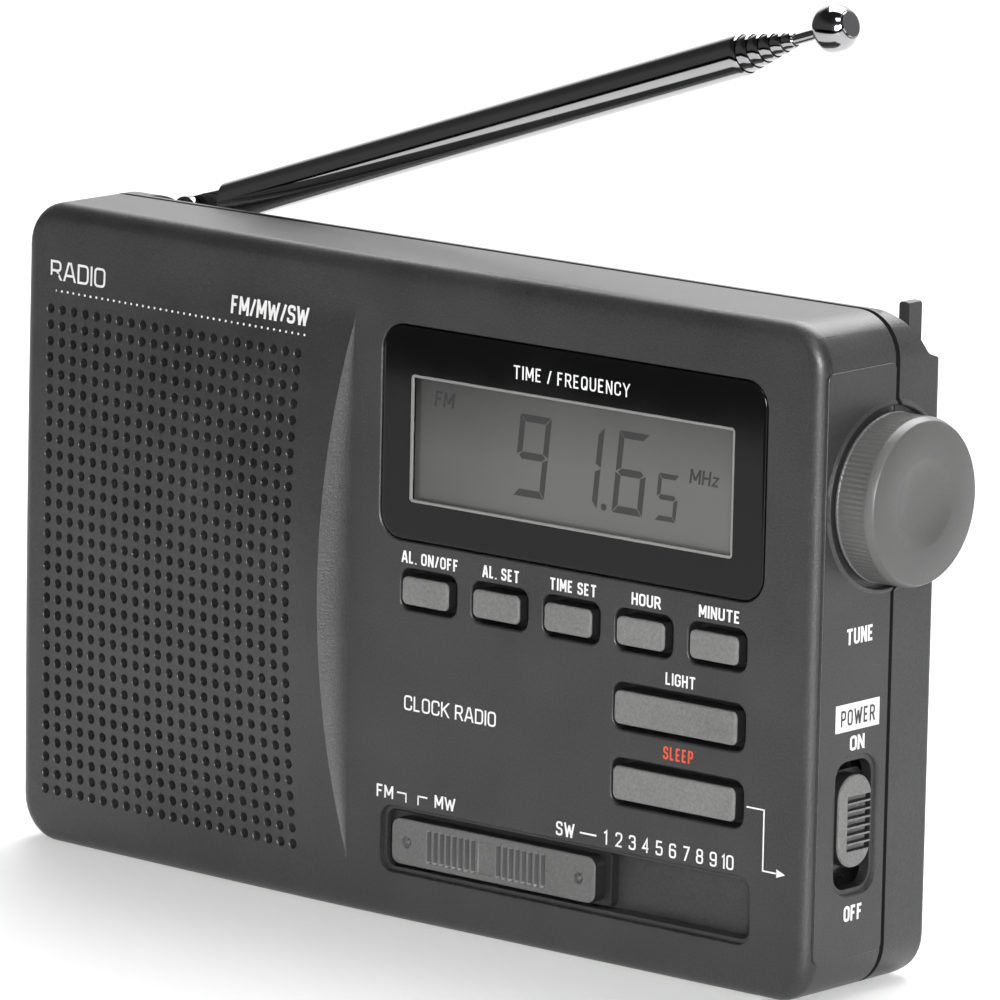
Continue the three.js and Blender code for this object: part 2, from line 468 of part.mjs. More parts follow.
const raise = new THREE.Matrix4().makeRotationY(THREE.MathUtils.degToRad(-ANTENNA_REST_DEG));
raise.premultiply(new THREE.Matrix4().makeTranslation(PIVOT.x, PIVOT.d, PIVOT.z));
const alongX = new THREE.Matrix4().makeRotationZ(-Math.PI / 2);
function barrel(r, a0, a1, n = 24) {
  const g = new THREE.CylinderGeometry(r, r, a1 - a0, n, 1).translate(0, (a0 + a1) / 2, 0);
  return solid(g.applyMatrix4(alongX).applyMatrix4(raise));
}
function tongue() {
  const flat = new THREE.BoxGeometry(7, 2.7, 3.4).translate(3.5, 0, 0);
  const eye = new THREE.CylinderGeometry(1.9, 1.9, 2.7, 20, 1);
  return union([solid(flat.applyMatrix4(raise)), solid(eye.applyMatrix4(raise))]);
}
TUBE_OD.forEach((od, i) => {
  const end = TUBE_END + i * COLLAR;
  const start = i === 0 ? 5.6 : 10 + i * 1.2;
  const next = i + 1 < TUBE_OD.length ? TUBE_OD[i + 1] : ROD_D;
  let tube = barrel(od / 2, start, end);
  if (i === 0) tube = tube.add(tongue()).subtract(rod("d", PIVOT.x, PIVOT.z, 0.85, 10, 26, 16));
  tube = tube.subtract(barrel(next / 2 + TUBE_CLEAR, i === 0 ? 9 : start - 1, end + 1));
  put(`antenna_section_${i + 1}`, tube, 0xd6d6d6, { metalness: 1 });
});
put("antenna_rod", barrel(ROD_D / 2, 19, TIP_X0 + 2), 0xd6d6d6, { metalness: 1 });
put("antenna_tip", barrel(2.65, TIP_X0, TIP_X1).subtract(barrel(ROD_D / 2 + 0.03, TIP_X0 - 1, TIP_X0 + 2.2)), 0xd6d6d6, { metalness: 1 });

export default group;
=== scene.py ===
import math

import bmesh
import bpy
from mathutils import Matrix, Vector


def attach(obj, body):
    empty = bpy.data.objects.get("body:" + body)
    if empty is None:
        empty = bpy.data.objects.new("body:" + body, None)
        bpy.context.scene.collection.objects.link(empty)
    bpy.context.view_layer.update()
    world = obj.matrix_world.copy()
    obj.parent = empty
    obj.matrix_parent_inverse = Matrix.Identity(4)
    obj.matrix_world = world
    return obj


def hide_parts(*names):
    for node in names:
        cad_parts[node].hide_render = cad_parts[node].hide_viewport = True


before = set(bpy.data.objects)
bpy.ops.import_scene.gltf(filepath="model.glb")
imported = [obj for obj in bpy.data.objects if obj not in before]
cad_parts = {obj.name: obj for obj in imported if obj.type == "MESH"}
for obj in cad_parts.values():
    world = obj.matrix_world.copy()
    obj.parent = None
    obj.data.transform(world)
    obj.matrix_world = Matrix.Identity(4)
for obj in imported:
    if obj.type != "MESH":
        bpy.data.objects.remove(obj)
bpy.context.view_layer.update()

MM = 0.001
ORIGIN_D = 15.0
HALF_W, H, CORNER_R, EDGE_R = 62.9, 79.7, 5.5, 2.0
SEAM_D, SEAM_HALF, BACK_D = 13.9, 0.1, 22.5
FLAT_X, GRILLE_LEFT_X, GRILLE_MID_Z, GRILLE_HALF_Z = -7.5, -57.9, 39.5, 32.8
RIDGE_BOW, PROUD, FALL = 3.4, 2.4, 1.7
HOLE_PITCH, HOLE_R, HOLE_COLS, HOLE_ROWS, HOLE_Z0 = 2.0, 0.56, 22, 31, 6.8
WINDOW = (-3.1, 54.9, 46.5, 72.2)
LCD = (1.26, 50.3, 51.1, 66.5)
KEY_X0, KEY_PITCH, KEY_W, KEY_H, KEY_Z = 0.27, 10.96, 8.63, 5.0, 40.6
BAR_X0, BAR_W, BAR_H, LIGHT_Z, SLEEP_Z = 33.1, 19.7, 5.6, 31.5, 22.5
SLOT = (-2.4, 54.3, 5.9, 14.2)
SLOT_Z = 10.05
CAP = (-0.2, 31.3, 5.65)
KNOB_D, KNOB_Z, LIP_IN, LIP_OUT = 12.3, 58.6, 10.7, 11.5
POWER_D = 8.0
BULGE = (-12.0, 54.0, 36.0, 28.8)
PIVOT = Vector((-50.1, 19.4, 77.8))
REST_DEG = 18.5
TUBE_OD = (5.0, 4.4, 3.8, 3.2, 2.6, 2.0)
TUBE_END, COLLAR, ROD_D, TIP_X0, TIP_X1 = 90.0, 1.5, 1.3, 101.0, 105.8
SCREWS = ((-57, 8), (57, 8), (-57, 68.5), (57, 68.5))
WALL = 1.6
INNER_W = HALF_W - WALL
PAD_H = 0.18
KEY_GAP_X, KEY_GAP_Z, KEY_FACE = 0.74, 0.78, 0.7
POWER_RECT = (POWER_D - 4.0, POWER_D + 4.0, 12.4, 28.9)
KNOB_BORE_R = 3.3

KEY_SITES = [(KEY_X0 + k * KEY_PITCH, KEY_W, KEY_Z, KEY_H) for k in range(5)]
KEY_SITES += [(BAR_X0, BAR_W, z, BAR_H) for z in (LIGHT_Z, SLEEP_Z)]

# ---------------------------------------------------------------- camera, area light helper
CAM_AT = Vector((0.709915, -0.844305, 0.258415))
AZ, EL, ROLL = map(math.radians, (39.94728469, 10.73767423, 1.17665427))
back = Vector((math.sin(AZ) * math.cos(EL), -math.cos(AZ) * math.cos(EL), math.sin(EL)))
right = (-back).cross(Vector((0, 0, 1))).normalized()
up = back.cross(right)
cam_x = right * math.cos(ROLL) + up * math.sin(ROLL)
cam_y = up * math.cos(ROLL) - right * math.sin(ROLL)
cam_data = bpy.data.cameras.new("camera")
cam_data.lens = 337.92
cam_data.sensor_width = 36
cam_data.clip_start = 0.05
camera = bpy.data.objects.new("camera", cam_data)
camera.matrix_world = Matrix((cam_x, cam_y, back)).transposed().to_4x4()
camera.matrix_world.translation = CAM_AT
scene = bpy.context.scene
scene.collection.objects.link(camera)
scene.camera = camera
scene.view_settings.view_transform = "Standard"


def area_light(name, at, target, size, watts, size_y=None, spread=180):
    data = bpy.data.lights.new(name, "AREA")
    data.shape = "RECTANGLE"
    data.size = size
    data.size_y = size_y or size
    data.energy = watts
    data.spread = math.radians(spread)
    o = bpy.data.objects.new(name, data)
    o.location = at
    o.rotation_euler = (Vector(target) - Vector(at)).to_track_quat("-Z", "Y").to_euler()
    scene.collection.objects.link(o)
    return o


# ---------------------------------------------------------------- materials
def node_material(name):
    m = bpy.data.materials.new(name)
    m.use_nodes = True
    nodes = m.node_tree.nodes
    return m, nodes, m.node_tree.links, nodes["Principled BSDF"]


def set_in(node, **values):
    for key, value in values.items():
        node.inputs[key.replace("_", " ")].default_value = value


def grained(name, colour, rough, grain=2600.0, bump=0.12, spread=0.06, metallic=0.0, coat=0.0, ior=1.5):
    """Moulded or metal surface: fine grain in the bump, slow drift in colour and roughness."""
    m, nodes, links, bsdf = node_material(name)
    set_in(bsdf, Metallic=metallic, Coat_Weight=coat, Coat_Roughness=0.06, IOR=ior)
    coord = nodes.new("ShaderNodeTexCoord")
    fine = nodes.new("ShaderNodeTexNoise")
    set_in(fine, Scale=grain, Detail=3.0, Roughness=0.6)
    slow = nodes.new("ShaderNodeTexNoise")
    set_in(slow, Scale=90.0, Detail=3.0, Roughness=0.5)
    links.new(coord.outputs["Object"], fine.inputs["Vector"])
    links.new(coord.outputs["Object"], slow.inputs["Vector"])
    ramp = nodes.new("ShaderNodeValToRGB")
    lo = [c * (1 - spread) for c in colour]
    hi = [min(1.0, c * (1 + spread)) for c in colour]
    ramp.color_ramp.elements[0].position = 0.3
    ramp.color_ramp.elements[1].position = 0.7
    ramp.color_ramp.elements[0].color = (*lo, 1)
    ramp.color_ramp.elements[1].color = (*hi, 1)
    blend = nodes.new("ShaderNodeMath")
    blend.operation = "MULTIPLY_ADD"
    blend.inputs[1].default_value = 0.65
    scaled = nodes.new("ShaderNodeMath")
    scaled.operation = "MULTIPLY"
    scaled.inputs[1].default_value = 0.35
    links.new(slow.outputs["Fac"], scaled.inputs[0])
    links.new(fine.outputs["Fac"], blend.inputs[0])
    links.new(scaled.outputs[0], blend.inputs[2])
    links.new(blend.outputs[0], ramp.inputs["Fac"])
    links.new(ramp.outputs["Color"], bsdf.inputs["Base Color"])
    rough_map = nodes.new("ShaderNodeMapRange")
    set_in(rough_map, To_Min=max(0.02, rough - 0.05), To_Max=rough + 0.05)
    links.new(slow.outputs["Fac"], rough_map.inputs["Value"])
    links.new(rough_map.outputs["Result"], bsdf.inputs["Roughness"])
    if bump:
        b = nodes.new("ShaderNodeBump")
        set_in(b, Strength=bump, Distance=0.00012)
        links.new(fine.outputs["Fac"], b.inputs["Height"])
        links.new(b.outputs["Normal"], bsdf.inputs["Normal"])
    return m


CASE = grained("case_grain", (0.027, 0.027, 0.028), 0.36, grain=3600, bump=0.32, spread=0.5)
# Dark satin: the band shutter's own colour, and also painted shade on the seam, the opening walls, and the
# sides and grooves of the keys, slide cap and power cap.
SATIN_AND_SHADE = grained("shutter_satin_and_painted_shade", (0.012, 0.012, 0.012), 0.4, bump=0.1)
KEYS = grained("key_grain", (0.146, 0.145, 0.143), 0.4, grain=2600, bump=0.7, spread=0.3)
SLIDE = grained("slider_grain", (0.1, 0.099, 0.098), 0.38, grain=2600, bump=0.6, spread=0.3)
KNOB = grained("knob_grain", (0.086, 0.085, 0.084), 0.34, grain=4200, bump=0.35, spread=0.12)
GLOSS = grained("window_gloss", (0.004, 0.004, 0.0042), 0.06, grain=500, bump=0.0, spread=0.1, ior=1.34)
FRAME_PRINT = grained("frame_line", (0.2, 0.2, 0.195), 0.35, bump=0.0)
CHROME = grained("chrome", (0.43, 0.43, 0.435), 0.09, grain=900, bump=0.0, spread=0.02, metallic=1.0)
TIP_END = grained("tip_end", (0.11, 0.11, 0.115), 0.5, grain=5000, bump=0.3, metallic=0.8)
STEEL = grained("plated_steel", (0.5, 0.5, 0.51), 0.3, grain=1500, bump=0.1, metallic=1.0)
BLACK = grained("black_moulding", (0.012, 0.012, 0.0125), 0.5, bump=0.2)
IVORY = grained("ivory_moulding", (0.62, 0.61, 0.56), 0.45, bump=0.15)
CONE = grained("cone_fibre", (0.02, 0.02, 0.021), 0.85, grain=1800, bump=0.5)
CLOTH = grained("cloth_felt", (0.007, 0.007, 0.0072), 0.95, grain=2400, bump=0.6)
MAGNET = grained("ferrite", (0.05, 0.05, 0.052), 0.6, grain=1500, bump=0.3)
COPPER = grained("copper_wire", (0.5, 0.2, 0.08), 0.35, grain=2500, bump=0.3, metallic=0.8)
BOARD = grained("board_mask", (0.02, 0.12, 0.045), 0.35, grain=1200, bump=0.1)
CELL = grained("cell_sleeve", (0.04, 0.12, 0.25), 0.3, grain=700, bump=0.05, coat=0.4)
LAMP = grained("backlight_diffuser", (0.7, 0.69, 0.62), 0.5, bump=0.1)
WHITE = grained("print_white", (0.78, 0.78, 0.77), 0.5, grain=3000, bump=0.1, spread=0.04)
RED = grained("print_red", (0.62, 0.075, 0.035), 0.5, grain=3000, bump=0.1, spread=0.04)
SEGMENT = grained("lcd_segment", (0.028, 0.029, 0.028), 0.25, grain=600, bump=0.0, spread=0.05)


def lcd_material():
    """Grey liquid crystal glass, darker towards the top left where the window's rim shades it."""
    m, nodes, links, bsdf = node_material("lcd_glass")
    set_in(bsdf, Roughness=0.32, Coat_Weight=0.25, Coat_Roughness=0.04)
    coord = nodes.new("ShaderNodeTexCoord")
    split = nodes.new("ShaderNodeSeparateXYZ")
    links.new(coord.outputs["Object"], split.inputs[0])
    along = nodes.new("ShaderNodeMapRange")
    set_in(along, From_Min=LCD[0] * MM, From_Max=(LCD[0] + 22) * MM)
    down = nodes.new("ShaderNodeMapRange")
    set_in(down, From_Min=LCD[3] * MM, From_Max=(LCD[3] - 9) * MM)
    links.new(split.outputs["X"], along.inputs["Value"])
    links.new(split.outputs["Z"], down.inputs["Value"])
    both = nodes.new("ShaderNodeMath")
    both.operation = "MULTIPLY_ADD"
    both.inputs[1].default_value = 0.45
    half = nodes.new("ShaderNodeMath")
    half.operation = "MULTIPLY"
    half.inputs[1].default_value = 0.55
    links.new(down.outputs["Result"], half.inputs[0])
    links.new(along.outputs["Result"], both.inputs[0])
    links.new(half.outputs[0], both.inputs[2])
    noise = nodes.new("ShaderNodeTexNoise")
    set_in(noise, Scale=160.0, Detail=4.0)
    links.new(coord.outputs["Object"], noise.inputs["Vector"])
    drift = nodes.new("ShaderNodeMath")
    drift.operation = "MULTIPLY_ADD"
    drift.inputs[1].default_value = 0.12
    links.new(noise.outputs["Fac"], drift.inputs[0])
    links.new(both.outputs[0], drift.inputs[2])
    ramp = nodes.new("ShaderNodeValToRGB")
    ramp.color_ramp.elements[0].color = (0.012, 0.0125, 0.012, 1)
    ramp.color_ramp.elements[1].color = (0.098, 0.099, 0.095, 1)
    links.new(drift.outputs[0], ramp.inputs["Fac"])
    links.new(ramp.outputs["Color"], bsdf.inputs["Base Color"])
    return m


LCD_GLASS = lcd_material()

# ---------------------------------------------------------------- mesh helpers
def new_object(name, bm, materials=(), smooth_deg=32):
    bmesh.ops.remove_doubles(bm, verts=bm.verts, dist=1e-5)
    bmesh.ops.recalc_face_normals(bm, faces=bm.faces)
    me = bpy.data.meshes.new(name)
    bm.to_mesh(me)
    bm.free()
    o = bpy.data.objects.new(name, me)
    scene.collection.objects.link(o)
    for m in materials:
        me.materials.append(m)
    o["smooth_deg"] = smooth_deg
    return o


def finish_mesh(o):
    """Millimetres to metres, smooth shading with hard edges kept."""
    me = o.data
    me.transform(Matrix.Translation((0, -ORIGIN_D * MM, 0)) @ Matrix.Scale(MM, 4))
    me.polygons.foreach_set("use_smooth", [True] * len(me.polygons))
    me.set_sharp_from_angle(angle=math.radians(o["smooth_deg"]))
    del o["smooth_deg"]
    mod = o.modifiers.new("normals", "WEIGHTED_NORMAL")
    mod.keep_sharp = True
    me.update()


def settle(o, body, replaced):
    """Finishes the mesh, hangs it on its body and hides the CAD node it stands for."""
    finish_mesh(o)
    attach(o, body)
    if replaced:
        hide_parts(replaced)


def boolean(target, cutter, operation="DIFFERENCE"):
    mod = target.modifiers.new("cut", "BOOLEAN")
    mod.operation = operation
    mod.solver = "MANIFOLD"
    mod.object = cutter
    bpy.context.view_layer.update()
    graph = bpy.context.evaluated_depsgraph_get()
    result = bpy.data.meshes.new_from_object(target.evaluated_get(graph))
    target.modifiers.remove(mod)
    old = target.data
    target.data = result
    result.name = target.name
    kept = list(old.materials)
    result.materials.clear()
    for m in kept:
        result.materials.append(m)
    bpy.data.meshes.remove(old)
    used = cutter.data
    bpy.data.objects.remove(cutter)
    bpy.data.meshes.remove(used)
    if not result.polygons:
        raise RuntimeError(f"cutting {target.name} left nothing")


def round_outline(u0, u1, v0, v1, r, inset=0.0, segments=6):
    u0, u1, v0, v1 = u0 + inset, u1 - inset, v0 + inset, v1 - inset
    r = max(0.04, r - inset)
    pts = []
    corners = ((u1 - r, v0 + r), (u1 - r, v1 - r), (u0 + r, v1 - r), (u0 + r, v0 + r))
    for (cu, cv), start in zip(corners, (-90, 0, 90, 180)):
        for i in range(segments + 1):
            a = math.radians(start + 90 * i / segments)
            pts.append((cu + r * math.cos(a), cv + r * math.sin(a)))
    return pts


def add_loft(bm, rings, endless=False):
    """Closed skin through rings of equal length, with flat caps, or endless: joined up with its first ring."""
    rows = [[bm.verts.new(p) for p in ring] for ring in rings]
    n = len(rows[0])
    for a, b in zip(rows, rows[1:] + (rows[:1] if endless else [])):
        for i in range(n):
            bm.faces.new((a[i], a[(i + 1) % n], b[(i + 1) % n], b[i]))
    if not endless:
        bm.faces.new(rows[0])
        bm.faces.new(rows[-1])


def loft_depth(bm, rect, r, stations, segments=6):
    """Rounded rectangle in x and z carried through depth; stations are (depth, inset)."""
    add_loft(bm, [[(u, d, v) for u, v in round_outline(*rect, r, inset, segments)] for d, inset in stations])


def loft_side(bm, rect, r, stations, segments=8):
    """The same in depth and z, carried along x."""
    add_loft(bm, [[(x, u, v) for u, v in round_outline(*rect, r, inset, segments)] for x, inset in stations])


def turns(n):
    return [2 * math.pi * i / n for i in range(n)]


def lathe(bm, profile, axis, n, endless=False):
    """profile is (along, radius) from one end of the axis to the other; local x is the axis."""
    rings = [[axis @ Vector((a, r * math.cos(t), r * math.sin(t))) for t in turns(n)] for a, r in profile]
    add_loft(bm, rings, endless)


def box(bm, x0, x1, d0, d1, z0, z1):
    add_loft(bm, [[(x, d0, z0), (x, d1, z0), (x, d1, z1), (x, d0, z1)] for x in (x0, x1)])


def along_x(x, d, z):
    return Matrix.Translation((x, d, z))


def along_d(x, d, z):
    return Matrix.Translation((x, d, z)) @ Matrix.Rotation(math.radians(90), 4, "Z")


def along_z(x, d, z):
    return Matrix.Translation((x, d, z)) @ Matrix.Rotation(math.radians(-90), 4, "Y")


def made(name, build, materials=(), smooth_deg=32):
    bm = bmesh.new()
    build(bm)
    return new_object(name, bm, materials, smooth_deg)


def piece(name, build, body, replaced, materials, smooth_deg=32):
    settle(made(name, build, materials, smooth_deg), body, replaced)


def carve(target, *builders):
    for build in builders:
        boolean(target, made("cutter", build))


def join(target, *builders):
    for build in builders:
        boolean(target, made("adder", build), "UNION")


# ---------------------------------------------------------------- case surfaces
def ridge_x(z):
    w = (z - GRILLE_MID_Z) / GRILLE_HALF_Z
    return FLAT_X - RIDGE_BOW * max(0.0, 1 - w * w)


def panel_depth(x, z):
    w = (z - GRILLE_MID_Z) / GRILLE_HALF_Z
    arch = max(0.0, 1 - w * w)
    s = (FLAT_X - x) / (FLAT_X - GRILLE_LEFT_X)
    return FALL * s**1.3 - PROUD * (1 - 0.9 * min(1.0, s**1.4)) * arch


def front_depth(x, z):
    if x >= FLAT_X:
        return 0.0
    ridge = ridge_x(z)
    if x <= ridge:
        return panel_depth(x, z)
    return panel_depth(ridge, z) * ((FLAT_X - x) / (FLAT_X - ridge)) ** 1.5


def edge_distance(x, z):
    qx = abs(x) - (HALF_W - CORNER_R)
    qz = abs(z - H / 2) - (H / 2 - CORNER_R)
    return CORNER_R - math.hypot(max(qx, 0), max(qz, 0)) - min(max(qx, qz), 0)


def rounding(d, r):
    return r - math.sqrt(max(0.0, r * r - max(0.0, r - d) ** 2))


def case_block(bm, near, far):
    """Closed block over the case outline between two depth functions."""
    edge = [EDGE_R * (1 - math.cos(math.pi / 2 * i / 7)) for i in range(8)]
    corner = [CORNER_R * (1 - math.cos(math.pi / 2 * i / 9)) for i in range(10)]
    low = sorted(set([round(v, 4) for v in edge + [c for c in corner if c > EDGE_R + 0.2]]))
    steps = 40
    rows = low + [CORNER_R + (H - 2 * CORNER_R) * i / steps for i in range(1, steps)]
    rows += [H - v for v in reversed(low)]
    grid = []
    for z in rows:
        v = min(z, H - z)
        half = HALF_W
        if v < CORNER_R:
            half = HALF_W - CORNER_R + math.sqrt(max(0.0, CORNER_R**2 - (CORNER_R - v) ** 2))
        ridge = ridge_x(z)
        xs = [-half + e for e in edge]
        xs += [-half + EDGE_R + (ridge + half - EDGE_R) * i / 30 for i in range(1, 31)]
        if ridge < FLAT_X - 0.05:
            xs += [ridge + (FLAT_X - ridge) * i / 8 for i in range(1, 9)]
        else:
            xs += [ridge + 0.01 * i for i in range(1, 9)]
        xs += [half - e for e in reversed(edge)]
        grid.append([(x, z) for x in xs])
    layers = [[[bm.verts.new((x, f(x, z), z)) for x, z in row] for row in grid] for f in (near, far)]
    nr, nc = len(grid), len(grid[0])
    for layer in layers:
        for i in range(nr - 1):
            for j in range(nc - 1):
                bm.faces.new((layer[i][j], layer[i][j + 1], layer[i + 1][j + 1], layer[i + 1][j]))
    a, b = layers
    for i in range(nr - 1):
        for j in (0, nc - 1):
            bm.faces.new((a[i][j], a[i + 1][j], b[i + 1][j], b[i][j]))
    for j in range(nc - 1):
        for i in (0, nr - 1):
            bm.faces.new((a[i][j], a[i][j + 1], b[i][j + 1], b[i][j]))


def seam_groove(x, z):
    """How far each half steps back from the parting plane near the outline."""
    return 0.3 if edge_distance(x, z) < 1.05 else 0.0


def lip_ring(bm):
    """Raised ring round the tuning knob."""
    section = [(-0.7, LIP_IN), (0.38, LIP_IN), (0.48, LIP_IN + 0.08), (0.47, LIP_IN + 0.22)]
    section += [(0.06, LIP_OUT - 0.08), (-0.02, LIP_OUT + 0.05), (-0.7, LIP_OUT + 0.05)]
    lathe(bm, section, along_x(HALF_W, KNOB_D, KNOB_Z), 128, endless=True)


def add_lip(target, d0, d1):
    ring = made("adder", lip_ring)
    reach = (HALF_W - 0.6, HALF_W + 2, d0, d1, KNOB_Z - 13, KNOB_Z + 13)
    boolean(ring, made("keep", lambda bm: box(bm, *reach)), "INTERSECT")
    boolean(target, ring, "UNION")


# ---------------------------------------------------------------- front cabinet
def front_block(bm):
    case_block(
        bm,
        lambda x, z: front_depth(x, z) + rounding(edge_distance(x, z), EDGE_R),
        lambda x, z: SEAM_D - SEAM_HALF - seam_groove(x, z),
    )


front = made("case_front", front_block, [CASE, SATIN_AND_SHADE], 30)


# Painted shade: the parting faces in the seam groove get the dark satin material, standing in for the shadow
# in the gap between the halves.
def blacken_seam(target):
    for p in target.data.polygons:
        if abs(p.center.y - SEAM_D) < 0.5:
            p.material_index = 1


def blacken_openings(target):
    """Painted shade: walls of the key openings and of the power slide's opening, below their rounded mouths,
    get the dark satin material so that the gaps read as shadow.
    """
    for p in target.data.polygons:
        c = p.center
        for x0, width, z, height in KEY_SITES:
            beside = -0.1 < c.x - x0 < width + 0.1 and abs(c.z - z) < height / 2 + 0.1
            if beside and 0.32 < c.y < 3.5:
                p.material_index = 1
        in_slide = abs(c.y - POWER_D) < 3.9 and POWER_RECT[2] < c.z < POWER_RECT[3]
        if in_slide and 60 < c.x < HALF_W - 0.3:
            p.material_index = 1


def mouth(r):
    """Stations of an opening whose edge is rounded over by r, for a cut that starts above the panel."""
    shares = ((0.0, 0.0), (0.08, 0.4), (0.3, 0.75), (0.62, 0.95), (1.0, 1.0))
    return [(-1.0, -r)] + [(r * depth, -r + r * inset) for depth, inset in shares]


def holes(bm):
    for c in range(HOLE_COLS):
        x = GRILLE_LEFT_X - 0.3 + c * HOLE_PITCH
        for row in range(HOLE_ROWS):
            z = HOLE_Z0 + row * HOLE_PITCH
            y = front_depth(x, z)
            profile = ((y - 0.6, HOLE_R + 0.1), (y - 0.01, HOLE_R + 0.1), (y + 0.1, HOLE_R), (4.4, HOLE_R))
            lathe(bm, profile, along_d(x, 0, z), 14)


carve(
    front,
    lambda bm: loft_depth(bm, (-INNER_W, INNER_W, WALL, H - WALL), 3.9, [(3.2, 0.4), (3.6, 0), (15, 0)]),
    lambda bm: box(bm, FLAT_X + 2, INNER_W, 1.8, 4.2, WALL, H - WALL),
)
for sx, sz in SCREWS:
    join(front, lambda bm: lathe(bm, ((WALL, 2.7), (13.5, 2.7)), along_d(sx, 0, sz), 20))
slot_wall = (SLOT[0] - 1.4, SLOT[1] + 3.4, SLOT[2] - 1.4, SLOT[3] + 1.4)
join(front, lambda bm: loft_depth(bm, slot_wall, 1.5, [(1.0, 0), (4.2, 0)]))


def openings(bm):
    loft_depth(bm, WINDOW, 3.1, [(-1, -0.3), (0, -0.3), (0.12, -0.16), (1.2, -0.16)], 10)
    for x0, width, z, height in KEY_SITES:
        r = 1.3 if width == KEY_W else 1.4
        loft_depth(bm, (x0, x0 + width, z - height / 2, z + height / 2), r, mouth(0.3) + [(3, 0.3)], 8)
    slot_steps = [(-1.0, -0.1), (0, -0.1), (0.05, 0.06), (0.2, 0.14), (0.75, 0.17), (0.8, 0.62), (1.5, 0.64)]
    loft_depth(bm, SLOT, 2.0, slot_steps, 10)


carve(
    front,
    openings,
    lambda bm: box(bm, WINDOW[0] + 1.6, WINDOW[1] - 1.6, 0.6, 4.4, WINDOW[2] + 2, WINDOW[3] - 2),
    lambda bm: box(bm, SLOT[0] + 0.3, SLOT[1] + 0.3, 1.45, 2.9, SLOT[2] + 0.62, SLOT[3] - 0.62),
    lambda bm: box(bm, 4.8, 31.2, 2, 5, SLOT_Z - 1.2, SLOT_Z + 1.2),
    holes,
)


def side_pad(bm):
    rises = ((-1.2, 0), (0.1, 0), (0.16, 0.05), (PAD_H, 0.14))
    loft_side(bm, (0.95, 13.5, 5.0, 74.2), 0.9, [(HALF_W + h, inset) for h, inset in rises])


join(front, side_pad)
add_lip(front, 0.9, SEAM_D - SEAM_HALF - 0.3)


def side_cuts(bm):
    x = HALF_W + PAD_H
    bezel = [(58, 0.7), (x - 0.72, 0.7), (x - 0.7, 0.69), (x - 0.5, 0.68), (x - 0.46, 0.66)]
    bezel += [(x - 0.45, 0.34), (x - 0.42, 0.14), (x - 0.14, 0.03), (x, -0.16), (x + 1, -0.16)]
    loft_side(bm, POWER_RECT, 2.7, bezel, 10)
    lathe(bm, ((HALF_W - 0.6, LIP_IN), (HALF_W + 1, LIP_IN)), along_x(0, KNOB_D, KNOB_Z), 128)
    for d, z in ((9.6, 15.7), (8.6, 61.6)):
        mouth_profile = ((-HALF_W - 1, 3.45), (-HALF_W, 3.45), (-HALF_W + 0.3, 3.15), (-58, 3.15))
        lathe(bm, mouth_profile, along_x(0, d, z), 32)


def knob_bore(bm):
    lathe(bm, ((55, KNOB_BORE_R), (HALF_W - 0.3, KNOB_BORE_R)), along_x(0, KNOB_D, KNOB_Z), 32)


def pilot_holes(bm):
    for x, z in SCREWS:
        lathe(bm, ((5, 1.15), (14, 1.15)), along_d(x, 0, z), 16)


carve(front, side_cuts, knob_bore, pilot_holes)
blacken_seam(front)
blacken_openings(front)
settle(front, "cabinet", "front_cabinet")


# ---------------------------------------------------------------- rear cabinet
def back_depth(x, z):
    top = max(0.0, z - (H - 6))
    low = max(0.0, 2.5 - z)
    d = BACK_D - (6 - math.sqrt(max(0.0, 36 - top * top))) - (2.5 - math.sqrt(max(0.0, 6.25 - low * low)))
    return d - rounding(edge_distance(x, z), EDGE_R) * 0.6


def rear_block(bm):
    case_block(bm, lambda x, z: SEAM_D + SEAM_HALF + seam_groove(x, z), back_depth)


def battery_bulge(bm):
    edge = ((1.2, 0), (0.8, 0.09), (0.35, 0.35), (0.09, 0.8), (0.0, 1.2))
    stations = [(18, 0)] + [(BULGE[3] - before, inset) for before, inset in edge]
    loft_depth(bm, (BULGE[0], BULGE[1], 0.0, BULGE[2]), 2.5, stations, 8)


rear = made("case_rear", rear_block, [CASE, SATIN_AND_SHADE], 30)
join(rear, battery_bulge)
carve(
    rear,
    lambda bm: loft_depth(bm, (-INNER_W, INNER_W, WALL, 72.2), 3.9, [(12, 0), (BACK_D - WALL, 0)]),
    lambda bm: loft_depth(bm, (-INNER_W, INNER_W, 60, 76.6), 3.9, [(12, 0), (14.9, 0)]),
)
join(rear, lambda bm: box(bm, BULGE[0], BULGE[1], 10.4, 22, 1.8, BULGE[2] - 0.4))
for sx, sz in SCREWS:
    join(rear, lambda bm: lathe(bm, ((SEAM_D + SEAM_HALF, 3.2), (BACK_D - 0.5, 3.2)), along_d(sx, 0, sz), 24))


def channel(bm):
    pts = [(14.2, H + 1), (14.7, H), (15.0, H - 0.01), (15.5, 79.58), (15.95, 79.35), (16.4, 78.98)]
    pts += [(16.9, 78.47), (17.5, 77.75), (18.0, 77.05), (18.5, 76.25), (19.0, 75.42), (19.35, 74.88)]
    pts += [(19.7, 74.5), (20.0, 74.3), (20.4, 74.17), (21.2, 73.92), (21.7, 73.65), (22.05, 73.3)]
    pts += [(22.3, 72.85), (22.42, 72.3), (24, 72.3), (24, H + 1)]
    add_loft(bm, [[(x, d, z) for d, z in pts] for x in (PIVOT.x - 4.1, HALF_W + 1)])


carve(
    rear,
    channel,
    lambda bm: lathe(bm, ((PIVOT.x, 3.0), (57.4, 3.0)), along_x(0, PIVOT.y, PIVOT.z), 40),
    lambda bm: lathe(bm, ((70.4, 4.1), (81, 4.1)), along_z(PIVOT.x, PIVOT.y, 0), 48),
)


def pivot_floor(bm):
    lathe(bm, ((68.8, 4.9), (70.4, 4.9)), along_z(PIVOT.x, PIVOT.y, 0), 40)


floor_disc = made("adder", pivot_floor)
boolean(floor_disc, made("keep", lambda bm: box(bm, -60, -40, 13, BACK_D - 0.6, 68, 71)), "INTERSECT")
boolean(rear, floor_disc, "UNION")


